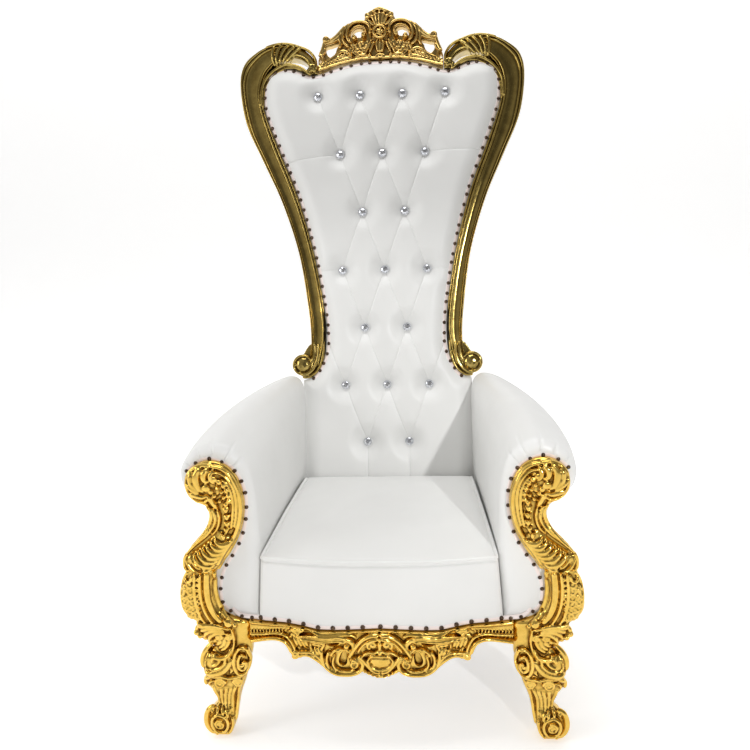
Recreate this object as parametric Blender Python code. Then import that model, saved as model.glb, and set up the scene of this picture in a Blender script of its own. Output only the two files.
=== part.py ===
"""A high-backed throne: gilt carved frame, white upholstery, a tufted back with crystal buttons.

Metres, +Z up. The chair faces -Y and +X is on the right of someone who looks at its front.
The origin is on the floor, under the middle of the chair's bounding box.
"""

import math

import bmesh
import bpy
from mathutils import Matrix, Vector
from mathutils.geometry import delaunay_2d_cdt

# Clearances
GAP = 0.0004
SEAT_CLEARANCE = 0.0015
ARM_CLEARANCE = 0.004
BACK_CLEARANCE = 0.008

# Seat
SEAT_WIDTH = 0.562
SEAT_REAR_WIDTH = 0.475
SEAT_DEPTH = 0.490
SEAT_HEIGHT = 0.469
SEAT_CROWN = 0.018
SEAT_BOW = 0.030
SEAT_FLARE = 0.012
SEAT_FRONT_Y = 0.015

# Front posts: the leg below the joint, the arm front above it
LEG_TOP = 0.455
LEG_WIDTH = 0.166
LEG_DEPTH = 0.045
POST_MARGIN = 0.034
ARM_FRONT_Y = 0.0124
ARM_FRONT_RELIEF = 0.007

# Wooden seat frame and rear legs
FRAME_TOP = 0.3255
APRON_HEIGHT = 0.155
APRON_THICKNESS = 0.030
APRON_BOW = 0.030
APRON_ARCH = 0.020
RAIL_THICKNESS = 0.030
RAIL_HEIGHT = 0.0735
RAIL_OUTSET = 0.085
RAIL_SAG = 0.028
BOARD_DROP = 0.0255
BOARD_THICKNESS = 0.038
REAR_LEG_SIZE = 0.046
REAR_LEG_RAKE = 0.076

# Arms
ARM_HEIGHT = 0.422
ARM_WIDTH = 0.195
ARM_ROLL_MARGIN = 0.0195
ARM_REACH_BEHIND_BACK = 0.063

# Back, drawn in its own leaning plane
BACK_LEAN = math.radians(12.0)
BACK_HALF_WIDTH = 0.408
BACK_LENGTH = 1.383
BACK_START_DROP = 0.019
FRAME_DEPTH = 0.048
SHELL_DEPTH = 0.042
SHELL_ROUNDING = 0.020
PAD_CROWN = 0.024
PAD_ROUNDING = 0.040
VOLUTE_RADIUS = 0.030

# Buttons
BUTTON_RADIUS = 0.0105
BUTTON_ROW_PITCH = 0.1667
BUTTON_TOP_MARGIN = 0.251
BUTTON_SPACING = 0.122
BUTTON_ROWS = (4, 3, 2, 3, 2, 3, 2)
DIMPLE_MARGIN = 0.0035

# Detail of the carved solids
VOXEL = 0.0035
STROKE_SIDES = 8
LEATHER_STEP = 8.0
STILE_TRIANGLES = 500
CREST_TRIANGLES = 1050
LEG_TRIANGLES = 620
ARM_FRONT_TRIANGLES = 600
APRON_TRIANGLES = 950

# Places that follow from the sizes above
POST_INNER_X = SEAT_WIDTH / 2 + POST_MARGIN
SIDE_RAIL_X = POST_INNER_X + RAIL_OUTSET
BACK_Y = SEAT_DEPTH + PAD_CROWN + BACK_CLEARANCE
BACK_Z = SEAT_HEIGHT - BACK_START_DROP
ARM_REAR_Y = BACK_Y + ARM_REACH_BEHIND_BACK
ARM_FRONT_HEIGHT = FRAME_TOP + ARM_HEIGHT - ARM_ROLL_MARGIN - LEG_TOP
REAR_RAIL_Y = ARM_REAR_Y - REAR_LEG_SIZE
REAR_LEG_X = SIDE_RAIL_X + RAIL_THICKNESS - REAR_LEG_SIZE / 2
RAIL_BOTTOM = FRAME_TOP - RAIL_HEIGHT
BOARD_TOP = FRAME_TOP - BOARD_DROP
PAD_HALF_WIDTH = SEAT_REAR_WIDTH / 2 - 0.001
SHELL_BOTTOM_DROP = (FRAME_DEPTH + SHELL_DEPTH) * math.tan(BACK_LEAN)
PAD_BOTTOM = (BOARD_TOP + SEAT_CLEARANCE - BACK_Z) / math.cos(BACK_LEAN) + SHELL_BOTTOM_DROP
BUTTON_TOP_ROW = BACK_LENGTH - BUTTON_TOP_MARGIN
DIMPLE_RADIUS = BUTTON_RADIUS + DIMPLE_MARGIN


# Materials


def principled(name, colour, roughness, metallic):
    material = bpy.data.materials.new(name)
    material.use_nodes = True
    shader = material.node_tree.nodes["Principled BSDF"]
    shader.inputs["Base Color"].default_value = (*colour, 1.0)
    shader.inputs["Roughness"].default_value = roughness
    shader.inputs["Metallic"].default_value = metallic
    return material


# Curves and shapes


def curve_through(points, step):
    """Points about step apart on a smooth curve through the given ones, of any dimension."""
    points = [Vector(p) for p in points]
    ends = [2 * points[0] - points[1], *points, 2 * points[-1] - points[-2]]
    found = []
    for a, b, c, d in zip(ends, ends[1:], ends[2:], ends[3:]):
        count = max(1, round((c - b).length / step))
        for i in range(count):
            t = i / count
            bend = (2 * a - 5 * b + 4 * c - d) * t**2 + (3 * b - a - 3 * c + d) * t**3
            found.append(0.5 * (2 * b + (c - a) * t + bend))
    return [*found, points[-1]]


def interpolate(table, at):
    """The values at one place in a table of rows, each a place and its values."""
    if at <= table[0][0]:
        return table[0][1:]
    for low, high in zip(table, table[1:]):
        if at <= high[0]:
            share = (at - low[0]) / (high[0] - low[0])
            return tuple(a + (b - a) * share for a, b in zip(low[1:], high[1:]))
    return table[-1][1:]


class Board:
    """A drawing board for a carving. Points are drawn in centimetres and scaled to the piece's real size."""

    def __init__(self, origin, scale_x, scale_z):
        self.origin = Vector(origin)
        self.scale = (scale_x / 100, scale_z / 100)
        self.size = (scale_x + scale_z) / 200

    def at(self, across, up, forward=0.0):
        return self.origin + Vector((across * self.scale[0], -forward / 100, up * self.scale[1]))


def add_loft(bm, rings):
    """A closed solid through rings of points, each with as many points as the others."""
    made = [[bm.verts.new(p) for p in ring] for ring in rings]
    for low, high in zip(made, made[1:]):
        for i in range(len(low)):
            j = (i + 1) % len(low)
            bm.faces.new((low[i], low[j], high[j], high[i]))
    bm.faces.new(list(reversed(made[0])))
    bm.faces.new(made[-1])


def add_slab(bm, board, outline, front, back, step=1.5):
    """An outline of the board, closed, from front to back, in centimetres towards the viewer."""
    path = curve_through([*outline, outline[0]], step)[:-1]
    add_loft(bm, [[board.at(p[0], p[1], forward) for p in path] for forward in (back, front)])


def add_stroke(bm, board, points, radius, depth=None, forward=0.0, taper=(1.0, 1.0), step=1.0):
    """A carved ridge along a path on the board. A point may state its own height towards the viewer."""
    depth = radius if depth is None else depth
    path = curve_through([(p[0], p[1], p[2] if len(p) > 2 else forward) for p in points], step)
    rings = []
    for i, p in enumerate(path):
        along = path[min(i + 1, len(path) - 1)] - path[max(i - 1, 0)]
        side = Vector((-along[1], along[0])).normalized()
        share = i / (len(path) - 1)
        width = taper[0] + (taper[1] - taper[0]) * share
        if i in (0, len(path) - 1):
            width *= 0.6
        ring = []
        for k in range(STROKE_SIDES):
            angle = 2 * math.pi * k / STROKE_SIDES
            out = math.cos(angle) * radius * width
            ring.append(
                board.at(p[0] + side[0] * out, p[1] + side[1] * out, p[2] + math.sin(angle) * depth * width)
            )
        rings.append(ring)
    add_loft(bm, rings)


def add_ball(bm, board, centre, radius, forward=0.0, depth=None):
    depth = radius if depth is None else depth
    place = Matrix.Translation(board.at(*centre, forward))
    shape = Matrix.Diagonal((radius * board.scale[0], depth / 100, radius * board.scale[1], 1.0))
    bmesh.ops.create_icosphere(bm, subdivisions=2, radius=1.0, matrix=place @ shape)


def spiral(centre, start_radius, end_radius, start_angle, turns):
    """Points of a spiral, for a volute. Angles are in degrees, anticlockwise from across."""
    count = max(6, round(abs(turns) * 10))
    found = []
    for i in range(count + 1):
        share = i / count
        angle = math.radians(start_angle + 360 * turns * share)
        radius = start_radius + (end_radius - start_radius) * share
        found.append((centre[0] + radius * math.cos(angle), centre[1] + radius * math.sin(angle)))
    return found


# Objects


def link(name, mesh, material, parent=None):
    obj = bpy.data.objects.new(name, mesh)
    bpy.context.scene.collection.objects.link(obj)
    if material:
        mesh.materials.clear()
        mesh.materials.append(material)
    obj.parent = parent
    return obj


def finish_mesh(bm, name):
    bmesh.ops.recalc_face_normals(bm, faces=bm.faces)
    mesh = bpy.data.meshes.new(name)
    bm.to_mesh(mesh)
    bm.free()
    return mesh


def box_mesh(name, low, high):
    bm = bmesh.new()
    size = [h - l for l, h in zip(low, high)]
    centre = [(l + h) / 2 for l, h in zip(low, high)]
    bmesh.ops.create_cube(bm, size=1.0, matrix=Matrix.Translation(centre) @ Matrix.Diagonal((*size, 1.0)))
    return finish_mesh(bm, name)


def cutter(name, mesh, parent=None):
    obj = link(name, mesh, None, parent)
    obj.hide_render = True
    obj.display_type = "WIRE"
    return obj


def carve(obj, triangles, cutters=(), symmetric=False):
    """Joins a carving's overlapping shapes into one solid, lightens it, and cuts it to its neighbours."""
    remesh = obj.modifiers.new("one_solid", "REMESH")
    remesh.mode = "VOXEL"
    remesh.voxel_size = VOXEL
    bpy.context.view_layer.update()
    whole = obj.evaluated_get(bpy.context.evaluated_depsgraph_get())
    facets = obj.modifiers.new("facets", "DECIMATE")
    facets.ratio = triangles / (2 * len(whole.data.polygons))
    facets.use_symmetry = symmetric
    facets.symmetry_axis = "X"
    for other in cutters:
        cut = obj.modifiers.new("cut_" + other.name, "BOOLEAN")
        cut.operation = "DIFFERENCE"
        cut.object = other


def apply_modifiers(obj):
    bpy.context.view_layer.update()
    mesh = bpy.data.meshes.new_from_object(obj.evaluated_get(bpy.context.evaluated_depsgraph_get()))
    obj.modifiers.clear()
    obj.data = mesh
    mesh.shade_smooth()
    mesh.set_sharp_from_angle(angle=math.radians(40))


def mirrored_copy(obj, name):
    mesh = obj.data.copy()
    mesh.transform(Matrix.Scale(-1, 4, (1, 0, 0)))
    mesh.flip_normals()
    return link(name, mesh, obj.data.materials[0], obj.parent)


# The back's outlines, drawn on its board: half of each, from the volute up to the middle

STILE_OUTER = (
    (22.4, 38.5),
    (22.0, 43.3),
    (22.5, 51.5),
    (24.8, 67.7),
    (29.3, 82.8),
    (34.7, 95.3),
    (39.3, 106.2),
    (40.8, 117.0),
    (39.6, 123.0),
    (36.0, 126.4),
    (32.0, 128.2),
    (27.0, 128.5),
    (22.5, 127.0),
    (19.2, 124.0),
    (18.3, 120.6),
)
STILE_INNER = (
    (19.6, 35.1),
    (17.6, 43.3),
    (17.8, 51.5),
    (20.4, 67.5),
    (24.6, 84.0),
    (29.4, 97.0),
    (33.4, 108.0),
    (34.3, 114.5),
    (33.6, 118.8),
    (31.8, 121.6),
    (29.2, 123.9),
    (26.2, 124.7),
    (23.2, 124.1),
    (21.0, 122.4),
    (20.0, 119.6),
)
# The edge of the leather, up to the middle of the top
LEATHER_EDGE = (
    (23.3, 31.5),
    (20.6, 33.8),
    (18.2, 38.4),
    (17.5, 43.3),
    (17.8, 51.0),
    (20.4, 67.5),
    (24.6, 84.0),
    (29.4, 97.0),
    (33.4, 108.0),
    (34.2, 114.0),
    (33.4, 118.6),
    (31.6, 120.6),
    (28.0, 121.6),
    (24.2, 121.0),
    (20.6, 119.5),
    (17.4, 119.6),
    (13.6, 120.9),
    (9.0, 122.0),
    (4.5, 122.6),
    (0.0, 122.7),
)
DRAWN_HALF_WIDTH = 40.8
DRAWN_BACK_LENGTH = 138.3


def back_board():
    return Board((0, 0, 0), BACK_HALF_WIDTH / DRAWN_HALF_WIDTH * 100, BACK_LENGTH / DRAWN_BACK_LENGTH * 100)


def leather_outline(grow=0.0):
    """The pad's outline in the back's plane, anticlockwise, and grown for the cutter that makes its room."""
    board = back_board()
    edge = [board.at(p[0], p[1]) for p in curve_through(LEATHER_EDGE, LEATHER_STEP)]
    bottom = [Vector((PAD_HALF_WIDTH, 0, PAD_BOTTOM)), Vector((PAD_HALF_WIDTH, 0, edge[0].z))]
    half = [*bottom, *edge]
    outline = [*half, *[Vector((-p.x, 0, p.z)) for p in reversed(half[:-1])]]
    grown = []
    for i, p in enumerate(outline):
        before, after = outline[i - 1], outline[(i + 1) % len(outline)]
        along = (after - before).normalized()
        grown.append(p + Vector((along.z, 0, -along.x)) * grow)
    return grown


def add_prism(bm, outline, low, high):
    """The outline, in the plane of X and Z, from y = low to y = high."""
    add_loft(bm, [[Vector((p.x, y, p.z)) for p in outline] for y in (high, low)])


# The back


def stile_mesh():
    """The right stile: a moulding between two outlines, with a volute below and a fluted shoulder above."""
    board = back_board()
    stations = 40
    outer = curve_through(STILE_OUTER, 0.5)
    inner = curve_through(STILE_INNER, 0.5)
    outer_half = ((0.0, 0.0), (0.02, 1.1), (0.12, 1.4), (0.2, 0.7), (0.5, 1.0))
    profile = (*outer_half, (0.8, 0.6), (0.88, 1.5), (0.98, 1.4), (1.0, 0.0))
    bm = bmesh.new()
    rings = []
    for i in range(stations + 1):
        share = i / stations
        a = outer[round(share * (len(outer) - 1))]
        b = inner[round(share * (len(inner) - 1))]
        ring = [board.at(*a, -FRAME_DEPTH * 100), board.at(*b, -FRAME_DEPTH * 100)]
        ring += [board.at(*(a + (b - a) * u), forward) for u, forward in reversed(profile)]
        rings.append(ring)
    add_loft(bm, rings)
    add_volute(bm, board)
    add_shoulder(bm, board)
    return finish_mesh(bm, "stile")


def add_volute(bm, board):
    """The scroll at the stile's lower end."""
    radius = VOLUTE_RADIUS * 100
    centre = (24.6, 36.0)
    add_slab(bm, board, spiral(centre, radius * 0.9, radius * 0.9, 0, 1.0)[:-1], 0.4, -3.4)
    add_stroke(bm, board, spiral(centre, radius * 0.85, radius * 0.62, 160, 1.0), 0.42, forward=0.6)
    add_ball(bm, board, centre, radius * 0.5, forward=0.5, depth=0.9)
    add_stroke(bm, board, [(20.4, 42.0), (20.6, 37.4), (22.6, 34.0), (24.6, 33.2)], 1.2, 0.9, forward=0.2)
    back = [(19.5, 41.0), (20.3, 35.6), (24.0, 32.9), (26.6, 34.4), (24.8, 38.5), (22.2, 42.0)]
    add_slab(bm, board, back, 0.2, -3.4)


def turn_angles(count):
    return [2 * math.pi * i / count for i in range(count)]


def add_shoulder(bm, board):
    """Flutes across the shoulder, the thin moulding along the leather, and the leaf beside the crest."""
    moulding = [(34.6, 112.0), (34.2, 117.8), (32.2, 121.0), (28.2, 122.1)]
    moulding += [(24.2, 121.5), (20.8, 120.1), (18.6, 120.1)]
    add_stroke(bm, board, moulding, 0.62, 0.9, forward=0.5)
    add_stroke(bm, board, moulding, 0.55, 2.2, forward=-1.8)
    for i in range(4):
        top = 33.6 - 2.6 * i
        ridge = [(top, 127.0 + 0.25 * i), (top - 1.6, 125.4), (top - 1.5, 122.8)]
        add_stroke(bm, board, ridge, 0.55, 0.8, forward=1.0)
    for across, up, radius in ((19.2, 120.6, 1.3), (21.2, 120.2, 1.0), (18.2, 122.2, 1.0)):
        add_ball(bm, board, (across, up), radius, forward=0.9)
    add_slab(bm, board, [(17.9, 119.4), (21.6, 119.6), (20.4, 121.8), (17.9, 122.4)], 0.6, -3.0)


def crest_mesh():
    """The pierced crest: shell and rosette in the middle, C-scrolls and leaf straps on both sides."""
    board = back_board()
    bm = bmesh.new()
    for side in (1, -1):
        half = Board(board.origin, board.scale[0] * 100 * side, board.scale[1] * 100)
        add_crest_half(bm, half)
    add_crest_middle(bm, board)
    return finish_mesh(bm, "crest")


def add_crest_middle(bm, board):
    add_slab(bm, board, [(-3.4, 133.0), (3.4, 133.0), (3.0, 124.0), (-3.0, 124.0)], 0.2, -2.6)
    dome = [(-4.3, 134.0), (4.3, 134.0), (4.3, 135.6), (3.2, 136.9), (1.9, 137.5), (0.0, 137.8)]
    add_slab(bm, board, [*dome, *[(-x, up) for x, up in dome[4:1:-1]]], 0.0, -2.4)
    for i in range(-3, 4):
        angle = math.radians(90 - 19 * i)
        tip = (4.2 * math.cos(angle), 132.9 + 4.2 * math.sin(angle))
        root = (1.0 * math.cos(angle), 132.9 + 1.0 * math.sin(angle))
        add_stroke(bm, board, [root, tip], 0.5, 0.9, forward=0.4, taper=(0.7, 1.2))
    for across in (-3.7, 3.7):
        add_ball(bm, board, (across, 135.3), 0.95, forward=0.4)
    add_ball(bm, board, (0.0, 137.3), 0.95, forward=0.4)
    add_stroke(bm, board, spiral((0, 130.9), 2.0, 2.0, 0, 1.0), 0.42, 0.7, forward=1.0)
    add_ball(bm, board, (0, 130.9), 1.35, forward=0.9, depth=1.1)
    for across in (-1.9, 0.0, 1.9):
        flute = [(across * 0.4, 128.6), (across, 124.6)]
        add_stroke(bm, board, flute, 0.7, 0.8, forward=0.5, taper=(0.6, 1.2))


def add_crest_half(bm, board):
    """Everything right of the middle, drawn towards +X."""
    thick = {"depth": 1.5, "forward": -0.6}
    # base moulding over the leather, and the frieze between it and the scrolls
    base = [(0, 122.9), (9, 122.2), (17.6, 119.8), (17.7, 121.3), (9, 124.2), (0, 125.2)]
    add_slab(bm, board, base, 0.5, -3.2)
    frieze = [(1.5, 124.2), (9.6, 123.0), (12.0, 124.6), (10.4, 128.0), (8.0, 129.6), (1.5, 129.6)]
    add_slab(bm, board, frieze, -0.2, -2.6)
    # C-scroll beside the rosette, with two drops in its eye
    add_stroke(bm, board, spiral((5.7, 131.7), 2.9, 2.9, -130, 1.0), 0.62, **thick)
    for across, up in ((5.0, 129.4), (7.2, 129.3)):
        add_ball(bm, board, (across, up), 1.0, forward=0.2)
    # broad band round the C-scroll, which runs down to the base as a leaf
    band = [(4.4, 134.5), (7.0, 134.4), (9.2, 132.8), (10.0, 130.2)]
    band += [(10.3, 127.6), (12.2, 125.2), (16.6, 122.0)]
    add_stroke(bm, board, band, 0.95, taper=(0.7, 1.0), **thick)
    # outer strap, from the scroll down to the shoulder
    add_stroke(bm, board, [(9.6, 132.6), (12.0, 130.4), (14.6, 129.2), (16.6, 129.4)], 0.85, **thick)
    add_ball(bm, board, (16.0, 129.2), 1.1, forward=0.0)
    end = [(16.8, 129.0), (17.4, 127.2), (17.7, 124.6), (17.5, 121.2)]
    add_stroke(bm, board, end, 0.7, depth=1.3, forward=-0.6)
    add_stroke(bm, board, [(15.2, 123.2), (16.2, 124.9), (17.6, 125.2)], 0.6, **thick)
    add_ball(bm, board, (8.6, 124.8), 1.0, forward=0.3)
    add_ball(bm, board, (13.0, 124.7), 0.9, forward=0.3)


def pad_mesh():
    """The tufted leather of the back: a dimple at each button, and swells between the folds."""
    outline = [Vector((p.x, p.z)) for p in leather_outline()]
    folds = fold_lines()
    points = [*outline]
    for share in (0.35, 1.0):
        inset = PAD_ROUNDING * share
        points += [p for p in inset_outline(outline, inset) if edge_distance(p, outline) > 0.8 * inset]
    for x, up in button_places():
        dimple = [Vector((math.cos(a), math.sin(a))) * DIMPLE_RADIUS for a in turn_angles(6)]
        points += [Vector((x, up)) + p for p in dimple]
    for a, b in folds:
        points += [a.lerp(b, 0.5)]
    points += swell_tops()
    rim = [(i, (i + 1) % len(outline)) for i in range(len(outline))]
    coords, _, faces, *_ = delaunay_2d_cdt(points, rim, [], 1, 1e-6)
    bm = bmesh.new()
    front = [bm.verts.new((p.x, -pad_height(p, outline, folds), p.y)) for p in coords]
    for face in faces:
        bm.faces.new([front[i] for i in face])
    made = bmesh.ops.extrude_face_region(bm, geom=list(bm.faces))
    for item in made["geom"]:
        if isinstance(item, bmesh.types.BMVert):
            item.co.y = FRAME_DEPTH - GAP
    bmesh.ops.dissolve_limit(bm, angle_limit=0.001, verts=bm.verts, edges=bm.edges)
    bmesh.ops.triangulate(bm, faces=bm.faces)
    return finish_mesh(bm, "back_pad")


def inset_outline(outline, inset):
    """Points of the outline moved inwards."""
    moved = []
    for i, p in enumerate(outline):
        along = (outline[(i + 1) % len(outline)] - outline[i - 1]).normalized()
        moved.append(p + Vector((-along.y, along.x)) * inset)
    return moved


def button_places():
    """(x, up) of each button in the back's plane."""
    places = []
    for row, count in enumerate(BUTTON_ROWS):
        up = BUTTON_TOP_ROW - row * BUTTON_ROW_PITCH
        places += [((i - (count - 1) / 2) * BUTTON_SPACING, up) for i in range(count)]
    return places


def fold_lines():
    """The leather's folds: between buttons of neighbouring rows, and from the outer buttons to the frame."""
    places = [Vector(p) for p in button_places()]
    folds = []
    for a in places:
        for b in places:
            if abs(abs(a.x - b.x) - BUTTON_SPACING / 2) < 0.001 and abs(a.y - b.y - BUTTON_ROW_PITCH) < 0.001:
                folds.append((a, b))
    for side in (1, -1):
        for row, rise in ((1, 0.0), (3, 0.0), (5, 0.9)):
            up = BUTTON_TOP_ROW - row * BUTTON_ROW_PITCH
            end = Vector((side * (BUTTON_SPACING + 0.12), up + 0.12 * rise))
            folds.append((Vector((side * BUTTON_SPACING, up)), end))
        last = BUTTON_TOP_ROW - 6 * BUTTON_ROW_PITCH
        x = side * BUTTON_SPACING / 2
        folds.append((Vector((x, last)), Vector((x, PAD_BOTTOM))))
    return folds


def swell_tops():
    """The highest points of the swells, midway between the buttons of each row and beside them."""
    tops = []
    for row, count in enumerate(BUTTON_ROWS):
        up = BUTTON_TOP_ROW - row * BUTTON_ROW_PITCH
        tops += [Vector(((i - (count - 2) / 2) * BUTTON_SPACING, up)) for i in range(count - 1)]
    for row in (2, 4):
        up = BUTTON_TOP_ROW - row * BUTTON_ROW_PITCH
        tops += [Vector((side * (BUTTON_SPACING + 0.003 * row), up)) for side in (1, -1)]
    return tops


def edge_distance(p, outline):
    """Distance from a point to the leather's edge."""
    best = 1.0
    for a, b in zip(outline, outline[1:] + outline[:1]):
        best = min(best, segment_distance(p, a, b))
    return best


def segment_distance(p, a, b):
    along = b - a
    share = max(0.0, min(1.0, (p - a).dot(along) / along.length_squared))
    return (p - a - along * share).length


def swell(distance, full):
    return math.sin(math.pi / 2 * min(1.0, distance / full))


def pad_height(p, outline, folds):
    """How far the leather stands in front of the back's plane."""
    to_edge = swell(edge_distance(p, outline), PAD_ROUNDING)
    to_fold = swell(min(segment_distance(p, a, b) for a, b in folds), 0.045)
    nearest = min((p - Vector(place)).length for place in button_places())
    if nearest < DIMPLE_RADIUS * 1.05:
        return 0.0
    to_button = swell(nearest - DIMPLE_RADIUS, 0.07)
    return PAD_CROWN * to_edge * (0.55 * to_button + 0.45 * to_fold) - 0.001


def shell_mesh():
    """The upholstered rear of the back, behind the frame and the pad, down to the rear rail."""
    board = back_board()
    outer = [board.at(p[0], p[1]) for p in curve_through(STILE_OUTER[:13], 6.0)]
    top = board.at(0, 125.0).z
    lower = [Vector((PAD_HALF_WIDTH, 0, PAD_BOTTOM)), Vector((PAD_HALF_WIDTH, 0, outer[0].z))]
    half = [*lower, *outer, Vector((board.at(12, 0).x, 0, top)), Vector((0, 0, top))]
    outline = [*half, *[Vector((-p.x, 0, p.z)) for p in reversed(half[:-1])]]
    bm = bmesh.new()
    layers = ((0.0, 0.2), (0.6, 0.2), (0.92, 0.4), (1.0, 1.0))
    rings = []
    for share, inset in reversed(layers):
        ring = []
        for i, p in enumerate(outline):
            along = (outline[(i + 1) % len(outline)] - outline[i - 1]).normalized()
            q = p - Vector((along.z, 0, -along.x)) * inset * SHELL_ROUNDING
            ring.append(Vector((q.x, FRAME_DEPTH + GAP + share * SHELL_DEPTH, q.z)))
        rings.append(ring)
    add_loft(bm, rings)
    return finish_mesh(bm, "back_shell")


def button_mesh():
    """A faceted crystal in a thin metal cup."""
    bm = bmesh.new()
    layers = ((0.0, 1.0), (0.45, 1.0), (0.85, 0.5))
    rings = []
    for share, width in layers:
        ring = []
        for a in turn_angles(6):
            r = BUTTON_RADIUS * width
            ring.append(Vector((r * math.cos(a), -share * BUTTON_RADIUS, r * math.sin(a))))
        rings.append(ring)
    add_loft(bm, rings)
    return finish_mesh(bm, "button")


# Arms and seat

# Sections of the right arm, from the seat's edge and the top of the seat frame, in centimetres
DRAWN_ARM_HEIGHT = 42.2
DRAWN_ARM_WIDTH = 19.5
ARM_FRONT_SECTION = (
    (1.2, 0.0),
    (0.8, 6.4),
    (0.1, 13.4),
    (-0.1, 20.4),
    (0.1, 27.4),
    (0.8, 32.4),
    (2.1, 36.9),
    (4.5, 40.4),
    (7.7, 42.2),
    (11.3, 41.9),
    (14.5, 39.9),
    (16.5, 36.4),
    (16.4, 32.9),
    (14.7, 30.2),
    (12.3, 28.6),
    (10.7, 26.4),
    (10.9, 22.4),
    (12.0, 17.4),
    (13.5, 11.4),
    (14.5, 5.4),
    (14.5, 0.0),
)
ARM_MIDDLE_SECTION = (
    (0.8, 0.0),
    (0.6, 6.4),
    (0.3, 13.4),
    (0.1, 20.4),
    (0.1, 27.4),
    (0.4, 33.4),
    (1.4, 38.9),
    (3.5, 43.0),
    (7.1, 44.6),
    (11.3, 43.4),
    (15.3, 40.6),
    (18.3, 36.8),
    (19.5, 33.4),
    (18.7, 30.6),
    (16.3, 28.6),
    (14.3, 26.4),
    (14.1, 22.4),
    (14.7, 17.4),
    (15.7, 11.4),
    (16.3, 5.4),
    (16.3, 0.0),
)
ARM_REAR_SECTION = (
    (0.0, 0.0),
    (0.0, 6.4),
    (0.0, 13.4),
    (0.0, 20.4),
    (0.0, 27.4),
    (0.0, 34.4),
    (0.1, 40.4),
    (1.1, 44.2),
    (3.5, 45.6),
    (7.3, 44.6),
    (11.3, 41.8),
    (14.7, 38.2),
    (16.5, 34.4),
    (16.5, 31.0),
    (15.3, 28.6),
    (14.3, 26.4),
    (14.1, 22.4),
    (14.3, 17.4),
    (14.7, 11.4),
    (14.9, 5.4),
    (14.9, 0.0),
)


def arm_mesh():
    """The right arm: a rolled section that flares outwards towards the front."""
    bm = bmesh.new()
    stations = ((0.0, 0.012), (0.02, 0.003), (0.08, 0.0), (0.25, 0.0))
    stations += ((0.5, 0.0), (0.75, 0.0), (0.97, 0.0), (1.0, 0.008))
    rings = []
    for share, inset in stations:
        weights = ((1 - share) * (1 - 2 * share), 4 * share * (1 - share), share * (2 * share - 1))
        points = []
        for drawn in zip(ARM_FRONT_SECTION, ARM_MIDDLE_SECTION, ARM_REAR_SECTION):
            across, up = sum((Vector(p) * w for p, w in zip(drawn, weights)), Vector((0, 0)))
            x = seat_half(share) + ARM_CLEARANCE + across / DRAWN_ARM_WIDTH * ARM_WIDTH
            points.append(Vector((x, FRAME_TOP + up / DRAWN_ARM_HEIGHT * ARM_HEIGHT)))
        middle = sum(points, Vector((0, 0))) / len(points)
        ring = []
        for p in points:
            q = p + (middle - p).normalized() * inset
            y = ARM_FRONT_Y + share * (ARM_REAR_Y - ARM_FRONT_Y)
            ring.append(Vector((q.x, y, max(q.y, FRAME_TOP))))
        rings.append(ring)
    add_loft(bm, rings)
    return finish_mesh(bm, "arm")


def seat_half(share):
    """Half the seat's width, from its front to its rear."""
    return (SEAT_WIDTH + (SEAT_REAR_WIDTH - SEAT_WIDTH) * share) / 2


def seat_mesh():
    """The upholstered seat between the arms, crowned on top and bowed in front."""
    bm = bmesh.new()
    across, deep = 8, 5
    lean = math.tan(BACK_LEAN)
    grid = []
    for level in (0, 1):
        rows = []
        for j in range(deep + 1):
            v = j / deep
            row = []
            for i in range(across + 1):
                u = 2 * i / across - 1
                half = seat_half(v)
                half += SEAT_FLARE * (1 - v) * (1 - level)
                bow = SEAT_BOW * (1 - u * u) * (1 - v)
                edge = (1 - u**4) * (1 - (2 * v - 1) ** 4)
                top = SEAT_HEIGHT + SEAT_CROWN * edge
                z = top if level else apron_top(u * half) + SEAT_CLEARANCE
                rear = SEAT_DEPTH + (z - SEAT_HEIGHT) * lean
                row.append(bm.verts.new((u * half, SEAT_FRONT_Y + v * (rear - SEAT_FRONT_Y) - bow, z)))
            rows.append(row)
        grid.append(rows)
    for level, rows in enumerate(grid):
        for j in range(deep):
            for i in range(across):
                bm.faces.new((rows[j][i], rows[j][i + 1], rows[j + 1][i + 1], rows[j + 1][i]))
    low, high = grid
    rim = [(0, i) for i in range(across + 1)] + [(j, across) for j in range(1, deep + 1)]
    rim += [(deep, i) for i in range(across - 1, -1, -1)] + [(j, 0) for j in range(deep - 1, 0, -1)]
    for (a, b), (c, d) in zip(rim, rim[1:] + rim[:1]):
        bm.faces.new((low[a][b], low[c][d], high[c][d], high[a][b]))
    return finish_mesh(bm, "seat")


# Front legs and arm fronts, drawn from the post's inner edge

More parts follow.
